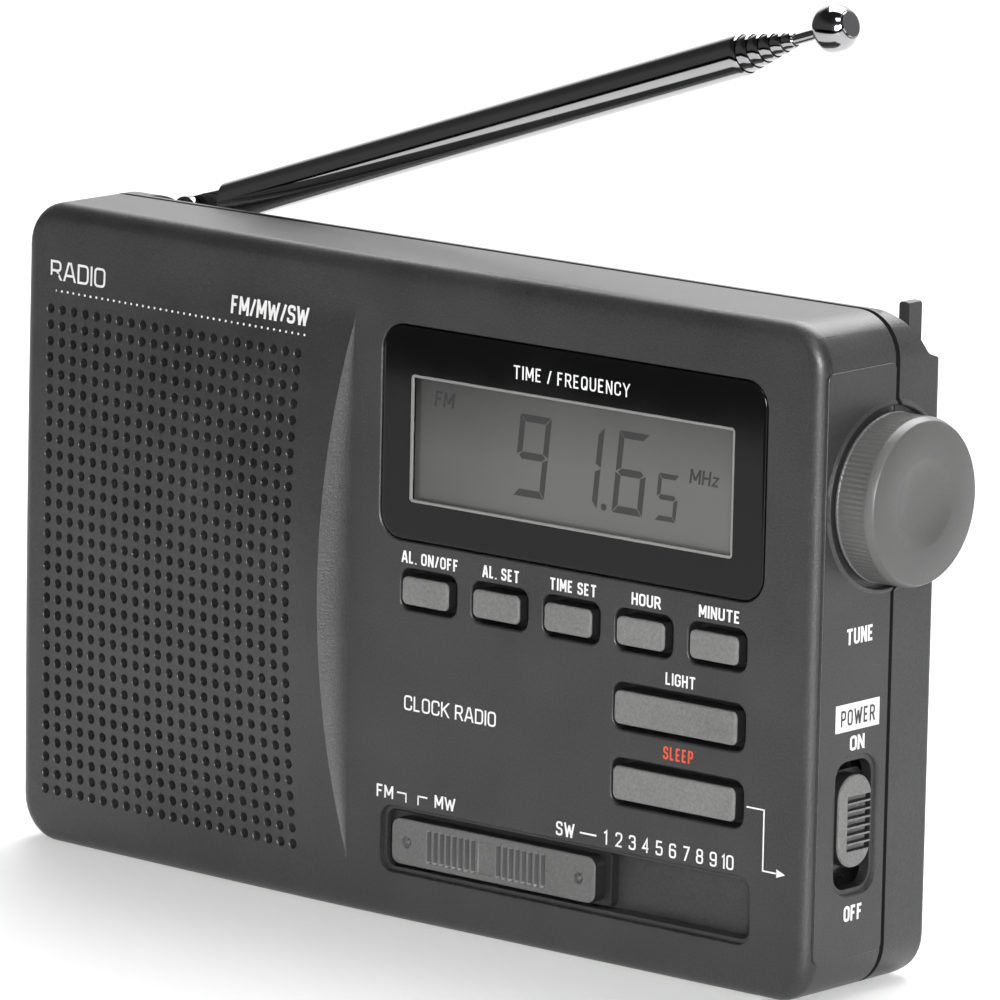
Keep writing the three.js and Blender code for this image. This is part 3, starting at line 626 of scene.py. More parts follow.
def clip_post(bm):
    side = [(58.75, 70.5), (60.25, 70.5), (60.25, 79.75), (60.1, 80.0)]
    side += [(59.85, 80.1), (59.05, 80.1), (58.8, 79.9), (58.75, 79.7)]
    add_loft(bm, [[(x, d, z) for x, z in side] for d in (19.2, 21.6)])


join(rear, clip_post)
add_lip(rear, SEAM_D + SEAM_HALF + 0.3, BACK_D - 0.5)


def rear_cuts(bm):
    loft_depth(bm, (-8, 50, 4, 32), 1.5, [(26.4, 0), (28.4, 0), (28.8, -0.25), (30, -0.25)], 8)
    screw_well = ((12, 1.35), (19.8, 1.35), (19.8, 2.7), (22.15, 2.7), (22.55, 3.05), (24, 3.05))
    for x, z in SCREWS:
        lathe(bm, screw_well, along_d(x, 0, z), 32)
    lathe(bm, ((HALF_W - 0.6, LIP_IN), (HALF_W + 1, LIP_IN)), along_x(0, KNOB_D, KNOB_Z), 128)
    wheel_slot = [(-HALF_W - 1, -0.25), (-HALF_W, -0.25), (-HALF_W + 0.3, 0), (-60, 0)]
    loft_side(bm, (14.6, 18.0, 42.4, 57.6), 0.5, wheel_slot, 4)


carve(
    rear,
    lambda bm: lathe(bm, ((68, 1.3), (71, 1.3)), along_z(PIVOT.x, PIVOT.y, 0), 20),
    lambda bm: box(bm, BULGE[0] + 1.6, BULGE[1] - 1.6, 11.6, 26.6, 3, BULGE[2] - 2),
    rear_cuts,
    knob_bore,
)
blacken_seam(rear)
settle(rear, "cabinet", "rear_cabinet")

# ---------------------------------------------------------------- display
def window_plate(bm):
    loft_depth(bm, WINDOW, 3.0, [(1.15, 0), (0.32, 0), (0.12, 0.07), (0.03, 0.22), (0.0, 0.45)], 12)


window = made("display_pane", window_plate, [GLOSS], 40)
carve(window, lambda bm: loft_depth(bm, LCD, 0.5, [(-1, -0.02), (0.0, -0.02), (0.3, 0.0), (2, 0.0)], 4))
settle(window, "cabinet", "display_window")


def lcd_rim(bm):
    stations = ((0.3, 0.04), (0.05, 0.04), (0.05, 0.33), (0.1, 0.38), (0.3, 0.38))
    add_loft(bm, [[(u, d, v) for u, v in round_outline(*LCD, 0.5, i, 4)] for d, i in stations], endless=True)


piece("display_frame_line", lcd_rim, "cabinet", None, [FRAME_PRINT])
piece(
    "lcd_face",
    lambda bm: loft_depth(bm, LCD, 0.4, [(1.1, 0.1), (0.86, 0.1), (0.84, 0.2)], 4),
    "cabinet", None, [LCD_GLASS],
)

SEGMENTS = {"9": "abcdfg", "1": "bc", "6": "acdefg", "5": "acdfg"}


def digit(bm, char, x, z, w, h, t, depth=0.8, slant=0.1):
    """Seven-segment digit with mitred bars; x is its bottom left corner."""
    g = 0.1
    mid = h / 2
    e = t / 2
    bars = {
        "a": ((g, h), (w - g, h), (w - t, h - t), (t, h - t)),
        "d": ((g, 0), (w - g, 0), (w - t, t), (t, t)),
        "g": (
            (g + e * 0.6, mid), (t, mid + e), (w - t, mid + e),
            (w - g - e * 0.6, mid), (w - t, mid - e), (t, mid - e),
        ),
        "f": ((0, h - g), (t - g, h - t - g), (t - g, mid + e + g * 0.5), (0, mid + g)),
        "b": ((w, h - g), (w - t + g, h - t - g), (w - t + g, mid + e + g * 0.5), (w, mid + g)),
        "e": ((0, g), (t - g, t + g), (t - g, mid - e - g * 0.5), (0, mid - g)),
        "c": ((w, g), (w - t + g, t + g), (w - t + g, mid - e - g * 0.5), (w, mid - g)),
    }
    for s in SEGMENTS[char]:
        add_loft(bm, [[(x + u + v * slant, d, z + v) for u, v in bars[s]] for d in (depth, 0.84)])


def lcd_digits(bm):
    digit(bm, "9", 16.6, 54.0, 4.7, 9.8, 0.85)
    digit(bm, "1", 24.6, 54.0, 4.7, 9.8, 0.85)
    digit(bm, "6", 31.6, 54.0, 4.5, 9.8, 0.85)
    digit(bm, "5", 38.0, 54.0, 3.1, 5.6, 0.6)
    loft_depth(bm, (30.0, 30.8, 54.0, 54.8), 0.3, [(0.8, 0), (0.84, 0)], 3)


piece("lcd_digits", lcd_digits, "cabinet", None, [SEGMENT], 20)


# ---------------------------------------------------------------- printing
def ring(x0, x1, y0, y1, q):
    return [(x0, y0, q), (x0, y1, q), (x1, y1, q), (x1, y0, q), None]


# Strokes of a plain condensed face: (x, y, corner radius) on a box one unit high; None closes the stroke.
GLYPHS = {
    "A": (0.56, [[(0, 0), (0.22, 1), (0.34, 1), (0.56, 0)], [(0.07, 0.28), (0.49, 0.28)]]),
    "C": (0.5, [[(0.5, 0.68), (0.5, 1, 0.24), (0, 1, 0.24), (0, 0, 0.24), (0.5, 0, 0.24), (0.5, 0.32)]]),
    "D": (0.5, [[(0, 0), (0, 1), (0.5, 1, 0.26), (0.5, 0, 0.26), None]]),
    "E": (0.43, [[(0.43, 1), (0, 1), (0, 0), (0.43, 0)], [(0, 0.5), (0.36, 0.5)]]),
    "F": (0.42, [[(0.42, 1), (0, 1), (0, 0)], [(0, 0.5), (0.34, 0.5)]]),
    "G": (0.5, [
        [(0.5, 0.7), (0.5, 1, 0.24), (0, 1, 0.24), (0, 0, 0.24), (0.5, 0, 0.24), (0.5, 0.46), (0.3, 0.46)],
    ]),
    "H": (0.48, [[(0, 0), (0, 1)], [(0.48, 0), (0.48, 1)], [(0, 0.5), (0.48, 0.5)]]),
    "I": (0.0, [[(0, 0), (0, 1)]]),
    "K": (0.5, [[(0, 0), (0, 1)], [(0.48, 1), (0.02, 0.42)], [(0.16, 0.58), (0.5, 0)]]),
    "L": (0.4, [[(0, 1), (0, 0), (0.4, 0)]]),
    "M": (0.64, [
        [(0, 0), (0, 1)],
        [(0.64, 0), (0.64, 1)],
        [(0.03, 1), (0.32, 0.2)],
        [(0.61, 1), (0.32, 0.2)],
    ]),
    "N": (0.5, [[(0, 0), (0, 1)], [(0.5, 0), (0.5, 1)], [(0.03, 1), (0.47, 0)]]),
    "O": (0.5, [ring(0, 0.5, 0, 1, 0.25)]),
    "P": (0.48, [[(0, 0), (0, 1), (0.48, 1, 0.24), (0.48, 0.44, 0.24), (0, 0.44)]]),
    "Q": (0.5, [ring(0, 0.5, 0, 1, 0.25), [(0.3, 0.24), (0.5, -0.04)]]),
    "R": (0.5, [[(0, 0), (0, 1), (0.48, 1, 0.24), (0.48, 0.47, 0.24), (0, 0.47)], [(0.28, 0.47), (0.5, 0)]]),
    "S": (0.5, [
        [(0.48, 0.75), (0.48, 1, 0.22), (0.01, 1, 0.22), (0.01, 0.56, 0.2), (0.5, 0.47, 0.2),
         (0.5, 0, 0.22), (0, 0, 0.22), (0, 0.25)],
    ]),
    "T": (0.56, [[(-0.04, 1), (0.6, 1)], [(0.28, 0.98), (0.28, 0)]]),
    "U": (0.5, [[(0, 1), (0, 0, 0.25), (0.5, 0, 0.25), (0.5, 1)]]),
    "W": (0.84, [
        [(0, 1), (0.21, 0)],
        [(0.42, 0.9), (0.21, 0)],
        [(0.42, 0.9), (0.63, 0)],
        [(0.84, 1), (0.63, 0)],
    ]),
    "Y": (0.54, [[(0, 1), (0.27, 0.44), (0.54, 1)], [(0.27, 0.44), (0.27, 0)]]),
    "z": (0.38, [[(0, 0.66), (0.38, 0.66), (0, 0), (0.38, 0)]]),
    "/": (0.3, [[(0, -0.05), (0.3, 1.05)]]),
    ".": (0.0, [[(0, 0), (0, 0.03)]]),
    "0": (0.46, [ring(0, 0.46, 0, 1, 0.23)]),
    "1": (0.15, [[(0, 0.8), (0.15, 1), (0.15, 0)]]),
    "2": (0.44, [[(0, 0.74), (0, 1, 0.22), (0.43, 1, 0.22), (0.43, 0.58, 0.16), (0, 0), (0.44, 0)]]),
    "3": (0.44, [
        [(0, 0.76), (0, 1, 0.2), (0.42, 1, 0.2), (0.42, 0.54, 0.16), (0.16, 0.54)],
        [(0.2, 0.54), (0.44, 0.54, 0.16), (0.44, 0, 0.22), (0, 0, 0.22), (0, 0.24)],
    ]),
    "4": (0.46, [[(0.34, 0), (0.34, 1), (0, 0.26), (0.46, 0.26)]]),
    "5": (0.44, [
        [(0.42, 1), (0.04, 1), (0.02, 0.56), (0.44, 0.6, 0.2), (0.44, 0, 0.22), (0, 0, 0.22), (0, 0.24)],
    ]),
    "6": (0.44, [
        [(0.42, 0.8), (0.42, 1, 0.2), (0, 1, 0.22), (0, 0, 0.22), (0.44, 0, 0.22),
         (0.44, 0.56, 0.2), (0.04, 0.56)],
    ]),
    "7": (0.44, [[(0, 1), (0.44, 1), (0.14, 0)]]),
    "8": (0.44, [ring(0.02, 0.42, 0.53, 1, 0.19), ring(0, 0.44, 0, 0.53, 0.21)]),
    "9": (0.44, [
        [(0.02, 0.2), (0.02, 0, 0.2), (0.44, 0, 0.22), (0.44, 1, 0.22), (0, 1, 0.22),
         (0, 0.44, 0.2), (0.4, 0.44)],
    ]),
}


def rounded_path(points, closed):
    out = []
    n = len(points)
    for i, (x, y, q) in enumerate(points):
        here = Vector((x, y))
        if q <= 0 or (not closed and i in (0, n - 1)):
            out.append(here)
            continue
        a = Vector(points[i - 1][:2]) - here
        b = Vector(points[(i + 1) % n][:2]) - here
        a = here + a.normalized() * min(q, a.length * 0.5)
        b = here + b.normalized() * min(q, b.length * 0.5)
        for k in range(7):
            t = k / 6
            out.append(a * (1 - t) ** 2 + here * (2 * t * (1 - t)) + b * t**2)
    kept = [out[0]]
    for v in out[1:]:
        if (v - kept[-1]).length > 1e-4:
            kept.append(v)
    if closed and (kept[0] - kept[-1]).length < 1e-4:
        kept.pop()
    return kept


def ribbon(bm, path, closed, width, place, h0, h1, end_caps=(False, False)):
    """Flat stroke of constant width; end_caps says which ends run on by half the width."""
    n = len(path)
    half = width / 2
    if not closed:
        path = list(path)
        for end, inner in ((0, 1), (-1, -2)):
            out = (path[end] - path[inner]).normalized()
            if end_caps[end] and abs(out.y) > 0.5:
                path[end] = path[end] + out * half / abs(out.y)
    left, right = [], []
    for i, p in enumerate(path):
        before = path[i - 1] if (closed or i > 0) else None
        after = path[(i + 1) % n] if (closed or i < n - 1) else None
        d0 = (p - before).normalized() if before is not None else None
        d1 = (after - p).normalized() if after is not None else None
        d0 = d0 or d1
        d1 = d1 or d0
        side = Vector((-d0.y - d1.y, d0.x + d1.x))
        side = side.normalized() if side.length > 1e-6 else Vector((-d0.y, d0.x))
        stretch = min(1.9, 1 / max(0.2, side.dot(Vector((-d0.y, d0.x)))))
        offset = side * half * stretch
        if not closed and ((i == 0 and end_caps[0]) or (i == n - 1 and end_caps[1])) and abs(d0.y) > 0.5:
            offset = Vector((-math.copysign(half / abs(d0.y), d0.y), 0))
        left.append(p + offset)
        right.append(p - offset)
    rows = []
    for a, b in zip(left, right):
        rows.append([bm.verts.new(place(q.x, q.y, h)) for q, h in ((a, h0), (a, h1), (b, h1), (b, h0))])
    pairs = list(zip(rows, rows[1:])) + ([(rows[-1], rows[0])] if closed else [])
    for a, b in pairs:
        for j in range(4):
            k = (j + 1) % 4
            bm.faces.new((a[j], a[k], b[k], b[j]))
    if not closed:
        bm.faces.new(rows[0])
        bm.faces.new(rows[-1])


def lay_text(bm, text, u0, u1, v0, v1, place, stroke, h=(0.0, 0.03), slant=0.0, letter_gap=0.14):
    """Sets text into u0 to u1 by v0 to v1; stroke is the letters' weight, h their bottom and top."""
    high = v1 - v0 - stroke
    gap = letter_gap * (v1 - v0) + stroke
    spaces = text.count(" ")
    letters = [c for c in text if c != " "]
    widths = sum(GLYPHS[c][0] for c in letters)
    room = (u1 - u0) - stroke - gap * (len(letters) - 1) - spaces * 0.42 * high
    sx = room / widths if widths else 0.0
    u = u0 + stroke / 2
    for c in text:
        if c == " ":
            u += 0.42 * high
            continue
        w, strokes = GLYPHS[c]
        for rank, path in enumerate(strokes):
            closed = path[-1] is None
            pts = []
            for pt in path[: -1 if closed else None]:
                y = v0 + stroke / 2 + pt[1] * high
                corner = pt[2] if len(pt) > 2 else 0
                pts.append((u + pt[0] * sx + slant * (y - v0), y, corner * min(high, sx * 1.05)))
            caps = (path[0][1] in (0, 1), not closed and path[-1][1] in (0, 1))
            line = rounded_path(pts, closed)
            step = 0.008 * rank
            ribbon(bm, line, closed, stroke, place, h[0] - step, h[1] + step, caps)
        u += w * sx + gap


def on_front(u, v, h):
    return (u, front_depth(u, v) - h + 0.005, v)


def on_side(u, v, h):
    return (HALF_W + 0.17 + h, u, v)


def on_window(u, v, h):
    return (u, -h + 0.005, v)


# text, left, right, bottom, top, stroke
FRONT_WORDS = (
    ("RADIO", -58.3, -48.9, 70.4, 72.8, 0.3),
    ("LIGHT", 40.95, 45.4, 35.05, 36.5, 0.22),
    ("CLOCK RADIO", 1.15, 15.4, 26.0, 27.8, 0.22),
    ("FM", -2.9, -0.3, 14.85, 16.4, 0.24),
    ("MW", 6.2, 9.4, 14.85, 16.4, 0.24),
    ("SW", 24.95, 27.75, 14.6, 16.3, 0.24),
)
KEY_CAPTIONS = (
    ("AL. ON/OFF", 0.35, 9.15),
    ("AL. SET", 12.9, 18.55),
    ("TIME SET", 23.2, 30.3),
    ("HOUR", 35.6, 39.95),
    ("MINUTE", 45.65, 51.7),
)
DIAL_X0, DIAL_PITCH = 32.5, 2.02
# thin lines beside the band slide and from the last bar to the power slide
FRONT_LINES = (
    (28.6, 31.1, 15.36, 15.56),
    (0.3, 1.75, 15.72, 15.92), (1.62, 1.8, 14.75, 15.92),
    (3.6, 5.05, 15.72, 15.92), (3.52, 3.7, 14.75, 15.92),
    (53.4, 56.0, 22.42, 22.6), (55.9, 56.08, 15.25, 22.6), (56.0, 58.2, 15.25, 15.43),
)


def flat_print(bm, outline, place=on_front):
    add_loft(bm, [[place(u, v, h) for u, v in outline] for h in (0.0, 0.03)])


def bar(bm, u0, u1, v0, v1, place=on_front):
    flat_print(bm, ((u0, v0), (u1, v0), (u1, v1), (u0, v1)), place)


def dotted_line(bm):
    for i in range(44):
        x, z = -58.3 + i, 69.1
        flat_print(bm, [(x + 0.16 * math.cos(t), z + 0.16 * math.sin(t)) for t in turns(8)])


def white_print(bm):
    for word, *span, stroke in FRONT_WORDS:
        lay_text(bm, word, *span, on_front, stroke)
    lay_text(bm, "FM/MW/SW", -27.6, -14.9, 70.15, 72.35, on_front, 0.36, letter_gap=0.08)
    lay_text(bm, "TIME / FREQUENCY", 17.0, 34.6, 68.0, 69.6, on_window, 0.2, letter_gap=0.2)
    for caption, u0, u1 in KEY_CAPTIONS:
        lay_text(bm, caption, u0, u1, 43.75, 45.2, on_front, 0.24)
    for n in range(1, 11):
        x = DIAL_X0 + DIAL_PITCH * (n - 1)
        before, after = {1: (0.3, 0.25), 10: (0.8, 1.0)}.get(n, (0.52, 0.52))
        lay_text(bm, str(n), x - before, x + after, 14.65, 16.4, on_front, 0.22)
    dotted_line(bm)
    for line in FRONT_LINES:
        bar(bm, *line)
    flat_print(bm, ((58.0, 14.85), (59.3, 15.34), (58.0, 15.85)))


piece("print_white", white_print, "cabinet", None, [WHITE], 20)
piece(
    "print_red",
    lambda bm: lay_text(bm, "SLEEP", 40.85, 45.3, 26.2, 27.75, on_front, 0.24),
    "cabinet", None, [RED], 20,
)


def side_print(bm):
    lay_text(bm, "TUNE", 5.4, 10.4, 42.1, 44.0, on_side, 0.34, letter_gap=0.1)
    bar(bm, 3.8, 11.95, 31.95, 35.2, on_side)
    lay_text(bm, "ON", 6.6, 9.3, 29.55, 31.3, on_side, 0.34, letter_gap=0.1)
    lay_text(bm, "OFF", 6.3, 9.75, 9.35, 11.2, on_side, 0.34, letter_gap=0.1)


piece("print_side", side_print, "cabinet", None, [WHITE], 20)
piece(
    "print_power",
    lambda bm: lay_text(bm, "POWER", 4.75, 11.1, 32.6, 34.5, on_side, 0.27, (0.05, 0.06)),
    "cabinet", None, [CASE], 20,
)


def on_glass(u, v, h):
    return (u, 0.83 - h, v)


def lcd_words(bm):
    lay_text(bm, "FM", 4.3, 7.2, 63.0, 64.8, on_glass, 0.26, slant=0.12)
    lay_text(bm, "MHz", 43.1, 47.4, 59.0, 60.7, on_glass, 0.26, slant=0.12)


piece("lcd_words", lcd_words, "cabinet", None, [SEGMENT], 20)


# ---------------------------------------------------------------- buttons
def key_piece(key, x0, width, z, height):
    """Cap, flange and plunger; all but the cap's face is dark, so that the gap round it reads as a shadow."""
    half = height / 2
    cap_rect = (x0 + KEY_GAP_X, x0 + width - KEY_GAP_X, z - half + KEY_GAP_Z, z + half - KEY_GAP_Z)
    flange = (x0 - 0.4, x0 + width + 0.4, z - half - 0.5, z + half + 0.5)
    crown = ((0.3, 0), (0.15, 0.04), (0.05, 0.12), (0.01, 0.24), (0.0, 0.4))
    plunger_x = x0 + width / 2 - (3 if width == BAR_W else 0)

    def build(bm):
        loft_depth(bm, cap_rect, 0.8, [(2.2, 0)] + [(below - KEY_FACE, inset) for below, inset in crown], 7)
        loft_depth(bm, flange, 1.0, [(2.2, 0), (2.9, 0)], 6)
        lathe(bm, ((2.9, 1.4), (3.85, 1.4)), along_d(plunger_x, 0, z), 20)

    o = made(f"key_{key}", build, [KEYS, SATIN_AND_SHADE], 28)
    for p in o.data.polygons:
        if p.normal.y > -0.12 or p.center.y > 0.5:
            p.material_index = 1
    settle(o, f"button_{key}", f"button_{key}")


KEY_NAMES = ("clock_on_off", "clock_set", "time_display", "hour", "minute", "light", "sleep")
for key, site in zip(KEY_NAMES, KEY_SITES):
    key_piece(key, *site)

# ---------------------------------------------------------------- band slide
CAP_R, RIB_PITCH, RIBS = 1.3, 0.98, 8
STUD_X = (2.2, 28.7)
cap_rect = (CAP[0], CAP[1], SLOT_Z - CAP[2] / 2, SLOT_Z + CAP[2] / 2)


def slider_body(bm):
    loft_depth(bm, cap_rect, CAP_R, [(1.5, 0), (-0.08, 0), (-0.2, 0.04), (-0.3, 0.12), (-0.35, 0.25)], 8)


def rib_cuts(bm):
    z0, z1 = SLOT_Z - 2.1, SLOT_Z + 2.05
    starts = [5.2 + i * RIB_PITCH for i in range(RIBS)] + [15.95 + i * RIB_PITCH for i in range(RIBS)]
    for x in starts:
        steep = x + RIB_PITCH - 0.1
        section = [(x, -0.5), (steep, -0.5), (steep, 0.1), (x + 0.62, 0.02), (x + 0.2, -0.32)]
        rings = []
        for z, pull in ((z0, 0.25), (z0 + 0.25, 0.0), (z1 - 0.25, 0.0), (z1, 0.25)):
            rings.append([(px, pd if pd < -0.3 else pd - pull, z) for px, pd in section])
        add_loft(bm, rings)


def cap_dimples(bm):
    for x in STUD_X:
        lathe(bm, ((-1, 0.8), (-0.34, 0.8), (-0.3, 0.7), (0.15, 0.66), (0.2, 0.3)), along_d(x, 0, SLOT_Z), 24)
    loft_depth(bm, (13.3, 15.8, SLOT_Z - 2.0, SLOT_Z + 1.95), 0.3, [(-1, 0), (-0.3, 0.0), (-0.2, 0.12)], 4)


def cap_studs(bm):
    dome = ((0.5, 0.42), (0.0, 0.4), (-0.12, 0.33), (-0.2, 0.2), (-0.22, 0.08))
    for x in STUD_X:
        lathe(bm, dome, along_d(x, 0, SLOT_Z), 20)


def is_dark(p):
    """Painted shade: the grooves between the ribs and the cap's outer walls get the dark satin material."""
    over = abs(p.center.z - SLOT_Z)
    grooved = 5 < p.center.x < 24.5 and over < 2.2 and p.center.y > -0.2 and p.normal.y > -0.995
    qx = max(0.0, abs(p.center.x - (CAP[0] + CAP[1]) / 2) - (CAP[1] - CAP[0]) / 2 + CAP_R)
    qz = max(0.0, over - CAP[2] / 2 + CAP_R)
    return grooved or (math.hypot(qx, qz) > CAP_R - 0.08 and p.normal.y > -0.4)


slider = made("band_slide_cap", slider_body, [SLIDE, SATIN_AND_SHADE], 28)
carve(slider, rib_cuts, cap_dimples)
join(slider, cap_studs)
for p in slider.data.polygons:
    p.material_index = 1 if is_dark(p) else 0
settle(slider, "band_slider", "band_slider_cap")


def shutter(bm):
    plate = (SLOT[0] + 0.4, 32.3, SLOT_Z - 3.3, SLOT_Z + 3.3)
    loft_depth(bm, plate, 0.6, [(2.75, 0), (1.72, 0), (1.6, 0.06), (1.55, 0.2)], 5)


piece("band_shutter", shutter, "band_slider", "band_slider_plate", [SATIN_AND_SHADE])

# ---------------------------------------------------------------- power switch
def power_body(bm):
    outline = (POWER_D - 3.02, POWER_D + 3.02, 15.6, 26.6)
    loft_side(bm, outline, 2.9, [(60.0, 0), (62.75, 0), (62.98, 0.06), (63.1, 0.22)], 14)


def power_grips(bm):
    for i in range(7):
        z = 17.6 + i * 0.96
        section = [(z, 63.4), (z, 62.15), (z + 0.42, 62.15), (z + 0.72, 63.12), (z + 0.72, 63.4)]
        add_loft(bm, [[(x, d, zz) for zz, x in section] for d in (POWER_D - 1.5, POWER_D + 3.3)])


power = made("power_cap", power_body, [KEYS, SATIN_AND_SHADE], 28)
carve(power, power_grips)
power_flange = (POWER_D - 3.8, POWER_D + 3.6, 15.4, 26.9)
join(power, lambda bm: loft_side(bm, power_flange, 1.5, [(60, 0), (61.1, 0)], 6))
# Painted shade: every face of the power cap but its outward ones, so its sides, flange and the steep walls of
# its grips, gets the dark satin material, standing in for shadow.
for p in power.data.polygons:
    p.material_index = 0 if p.normal.x > 0.2 and p.center.x > 62.0 else 1
settle(power, "power_switch", "power_switch_cap")


# ---------------------------------------------------------------- tuning knob
def knob(bm):
    n = 400
    x0 = HALF_W + 0.3
    # height, radius, how deep the flutes are there
    profile = (
        (0.0, 0.0, 0), (0.0, 9.75, 0), (0.1, 9.95, 0), (0.34, 10.0, 0), (0.46, 9.9, 0.4), (0.6, 9.96, 1),
        (3.8, 9.96, 1), (4.1, 9.98, 0.3), (4.25, 9.97, 0), (4.42, 9.94, 0), (4.6, 9.87, 0), (5.2, 9.62, 0),
        (5.33, 9.53, 0), (5.4, 9.38, 0), (5.4, 5.35, 0), (5.33, 5.05, 0), (5.12, 4.6, 0), (4.92, 3.9, 0),
        (4.78, 2.8, 0), (4.7, 1.5, 0), (4.68, 0.0, 0),
    )
    rows = []
    for h, r, flute in profile:
        if r == 0:
            rows.append([bm.verts.new((x0 + h, KNOB_D, KNOB_Z))])
            continue
        ring = []
        for i, t in enumerate(turns(n)):
            q = r - flute * 0.16 * (0, 0.6, 1.0, 0.6)[i % 4]
            ring.append(bm.verts.new((x0 + h, KNOB_D + q * math.cos(t), KNOB_Z + q * math.sin(t))))
        rows.append(ring)
    for a, b in zip(rows, rows[1:]):
        for i in range(n):
            j = (i + 1) % n
            if len(a) == 1:
                bm.faces.new((a[0], b[j], b[i]))
            elif len(b) == 1:
                bm.faces.new((a[i], a[j], b[0]))
            else:
                bm.faces.new((a[i], a[j], b[j], b[i]))


piece("tuning_dial", knob, "tuning", "tuning_knob", [KNOB], 50)


# ---------------------------------------------------------------- antenna
raised = Matrix.Translation(PIVOT) @ Matrix.Rotation(math.radians(-REST_DEG), 4, "Y")


def tube(bm, r_out, r_in, a0, a1):
    """Hollow tube with rolled ends, as one closed skin."""
    lip = 0.12
    profile = [(a0 + lip, r_in), (a0, (r_in + r_out) / 2), (a0 + lip, r_out)]
    for before, less in ((0.75, 0), (0.4, 0.03), (0.15, 0.1), (0.02, 0.19)):
        profile.append((a1 - before, r_out - less))
    profile += [(a1, r_out * 0.3 + r_in * 0.7), (a1 - 0.1, r_in)]
    lathe(bm, profile, raised, 48, endless=True)


def tongue(bm):
    pts = []
    for i in range(13):
        a = math.pi / 2 + math.pi * i / 12
        pts.append((1.9 * math.cos(a), 1.9 * math.sin(a)))
    pts += [(5.9, -1.7), (5.9, 1.7)]
    add_loft(bm, [[raised @ Vector((u, w, v)) for u, v in pts] for w in (-1.35, -1.25, 1.25, 1.35)])
    lathe(bm, ((5.9, 1.5), (5.95, 2.2), (9.0, 2.2)), raised, 32)


for i, od in enumerate(TUBE_OD):
    inner = (TUBE_OD[i + 1] if i + 1 < len(TUBE_OD) else ROD_D) / 2 + 0.05
    a0 = 5.6 if i == 0 else 10 + i * 1.2
    node = f"antenna_section_{i + 1}"

    def section(bm, i=i, od=od, inner=inner, a0=a0):
        tube(bm, od / 2, inner, a0, TUBE_END + i * COLLAR)
        if i == 0:
            tongue(bm)

    piece(f"antenna_tube_{i + 1}", section, node, node, [CHROME], 40)

piece(
    "antenna_thin_rod",
    lambda bm: lathe(bm, ((19, 0.6), (19.1, ROD_D / 2), (TIP_X0 + 2, ROD_D / 2)), raised, 32),
    "antenna_rod", "antenna_rod", [CHROME],
)


def tip(bm):
    a, b, r = TIP_X0 + 0.6, TIP_X1 + 0.25, 2.75
    profile = [(a, 0.7), (a, 1.5), (a + 0.12, 1.95), (a + 0.38, 2.3), (a + 0.75, 2.58), (a + 1.2, r)]
    profile += [(b - 2.1, r), (b - 1.5, r - 0.1), (b - 0.95, r - 0.36), (b - 0.5, r - 0.72)]
    profile += [(b - 0.18, r - 1.02), (b - 0.16, 1.55), (b, 1.5)]
    lathe(bm, profile, raised, 64)


cap = made("antenna_cap", tip, [CHROME, TIP_END], 40)
outer_end = raised @ Vector((TIP_X1, 0, 0))
for p in cap.data.polygons:
    if len(p.vertices) > 40 and (p.center - outer_end).length < 0.6:
        p.material_index = 1
settle(cap, "antenna_rod", "antenna_tip")


def fork(bm):
    lathe(bm, ((68.6, 1.2), (70.45, 1.2)), along_z(PIVOT.x, PIVOT.y, 0), 24)
    lathe(bm, ((70.45, 3.6), (70.6, 3.8), (74.1, 3.8), (74.4, 3.5)), along_z(PIVOT.x, PIVOT.y, 0), 48)
    for o in (-2.45, 1.5):
        pts = [(-2.1, 74.3 - PIVOT.z), (2.1, 74.3 - PIVOT.z)]
        pts += [(2.1 * math.cos(math.pi * k / 14), 2.1 * math.sin(math.pi * k / 14)) for k in range(15)]
        add_loft(bm, [[(PIVOT.x + u, PIVOT.y + o + w, PIVOT.z + v) for u, v in pts] for w in (0, 0.95)])


piece("antenna_fork_shell", fork, "antenna_swivel", "antenna_fork", [CHROME], 35)


def rivet(bm):
    profile = ((-2.95, 0.6), (-2.85, 1.0), (-2.6, 1.3), (-2.46, 1.3), (-2.46, 0.8), (2.55, 0.8), (2.6, 0.7))
    lathe(bm, profile, along_d(*PIVOT), 28)


piece("antenna_rivet", rivet, "antenna_swivel", "antenna_pin", [CHROME])


# ---------------------------------------------------------------- left wheel, battery door
def wheel(bm):
    x, z = -55, 50
    half_profile = ((15.0, 8.4, 0), (15.05, 8.8, 0.2), (15.25, 9.15, 1))
    other_half = ((17.35, 9.15, 1), (17.55, 8.8, 0.2), (17.6, 8.4, 0))
    rings = []
    for d, r, flute in half_profile + other_half:
        ring = []
        for i, t in enumerate(turns(220)):
            q = r - flute * 0.22 * (0, 0.7, 1.0, 0.7)[i % 4]
            ring.append((x + q * math.cos(t), d, z + q * math.sin(t)))
        rings.append(ring)
    add_loft(bm, rings)


piece("volume_rim", wheel, "volume", "volume_wheel", [BLACK], 50)


def door_body(bm):
    loft_depth(bm, (-7.8, 49.8, 4.2, 31.8), 1.3, [(27.3, 0), (28.55, 0), (28.72, 0.08), (28.8, 0.25)], 8)


def door_grips(bm):
    for i in range(6):
        z = 20.0 + i * 1.5
        loft_depth(bm, (14.0, 28.0, z, z + 0.7), 0.3, [(28.3, 0.15), (28.6, 0.05), (29.0, 0)], 4)
    add_loft(bm, [[(u, d, v) for u, v in ((19.8, 17.6), (21.0, 15.6), (22.2, 17.6))] for d in (28.4, 29.0)])


door = made("battery_cover", door_body, [CASE])
carve(door, door_grips)
settle(door, "battery_door", "battery_door")

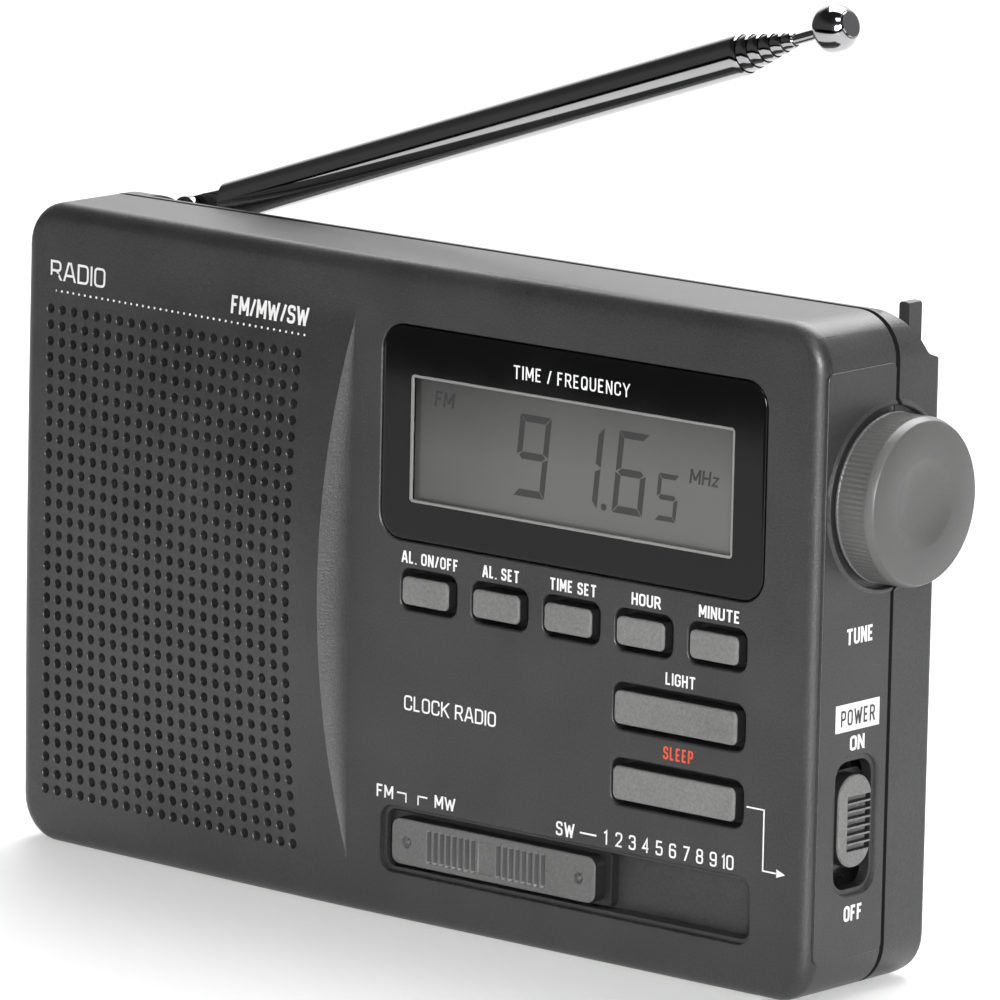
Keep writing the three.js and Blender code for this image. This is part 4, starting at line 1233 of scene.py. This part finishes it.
# ---------------------------------------------------------------- carried-over CAD nodes
LOOKS = {
    "lcd_panel": IVORY, "lcd_frame": FRAME_PRINT, "backlight": LAMP, "main_board": BOARD,
    "speaker_basket": STEEL, "speaker_cone": CONE, "speaker_magnet": MAGNET, "grille_cloth": CLOTH,
    "ferrite_rod": MAGNET, "ferrite_coil": COPPER, "tuning_capacitor": IVORY,
    "earphone_jack": BLACK, "dc_jack": BLACK, "battery_1": CELL, "battery_2": CELL,
}
for name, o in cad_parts.items():
    look = LOOKS.get(name, BLACK if name.startswith("tact") else STEEL)
    o.data.materials.clear()
    o.data.materials.append(look)

# ---------------------------------------------------------------- stage
world = bpy.data.worlds.new("studio")
scene.world = world
world.use_nodes = True
wn, wl = world.node_tree.nodes, world.node_tree.links
wn.clear()
out = wn.new("ShaderNodeOutputWorld")
bg = wn.new("ShaderNodeBackground")
coord = wn.new("ShaderNodeTexCoord")
split = wn.new("ShaderNodeSeparateXYZ")
wl.new(coord.outputs["Generated"], split.inputs[0])
rise = wn.new("ShaderNodeValToRGB")
els = rise.color_ramp.elements
els[0].position, els[0].color = 0.46, (0.02, 0.02, 0.02, 1)
els[1].position, els[1].color = 0.5, (1, 1, 1, 1)
for pos, v in ((0.68, 1.0), (0.8, 0.28), (1.0, 0.2)):
    e = els.new(pos)
    e.color = (v, v, v, 1)
lift = wn.new("ShaderNodeMapRange")
set_in(lift, From_Min=-1.0, From_Max=1.0)
wl.new(split.outputs["Z"], lift.inputs["Value"])
wl.new(lift.outputs["Result"], rise.inputs["Fac"])
side = wn.new("ShaderNodeVectorMath")
side.operation = "DOT_PRODUCT"
side.inputs[1].default_value = (-0.2, 0.98, 0.0)
wl.new(coord.outputs["Generated"], side.inputs[0])
depth = wn.new("ShaderNodeMapRange")
set_in(depth, From_Min=0.45, From_Max=0.8, To_Min=0.12, To_Max=1.55)
wl.new(side.outputs["Value"], depth.inputs["Value"])
mul = wn.new("ShaderNodeMath")
mul.operation = "MULTIPLY"
wl.new(rise.outputs["Color"], mul.inputs[0])
wl.new(depth.outputs["Result"], mul.inputs[1])
path = wn.new("ShaderNodeLightPath")
pick = wn.new("ShaderNodeMix")
pick.data_type = "FLOAT"
wl.new(path.outputs["Is Camera Ray"], pick.inputs["Factor"])
wl.new(mul.outputs[0], pick.inputs["A"])
pick.inputs["B"].default_value = 1.25
wl.new(pick.outputs["Result"], bg.inputs["Strength"])
wl.new(bg.outputs[0], out.inputs[0])

floor_bm = bmesh.new()
corners = [(-0.9, -0.3, 0), (0.9, -0.3, 0), (0.9, 1.4, 0), (-0.9, 1.4, 0)]
floor_bm.faces.new([floor_bm.verts.new(c) for c in corners])
floor_me = bpy.data.meshes.new("floor")
floor_bm.to_mesh(floor_me)
floor_bm.free()
floor = bpy.data.objects.new("floor", floor_me)
scene.collection.objects.link(floor)
paper = grained("floor_paper", (0.56, 0.56, 0.56), 0.7, grain=300, bump=0.02, spread=0.01)
set_in(paper.node_tree.nodes["Principled BSDF"], Emission_Color=(1, 1, 1, 1), Emission_Strength=0.36)
floor_me.materials.append(paper)
area_light("key", (0.52, -0.54, 0.2), (0.045, 0, 0.035), 0.16, 0.38, 0.34, 34)
area_light("overhead", (0.5, -0.42, 0.9), (0.02, 0, 0.04), 0.3, 1.7)
area_light("top", (-0.15, 0.42, 0.8), (0, 0, 0.04), 0.8, 17)
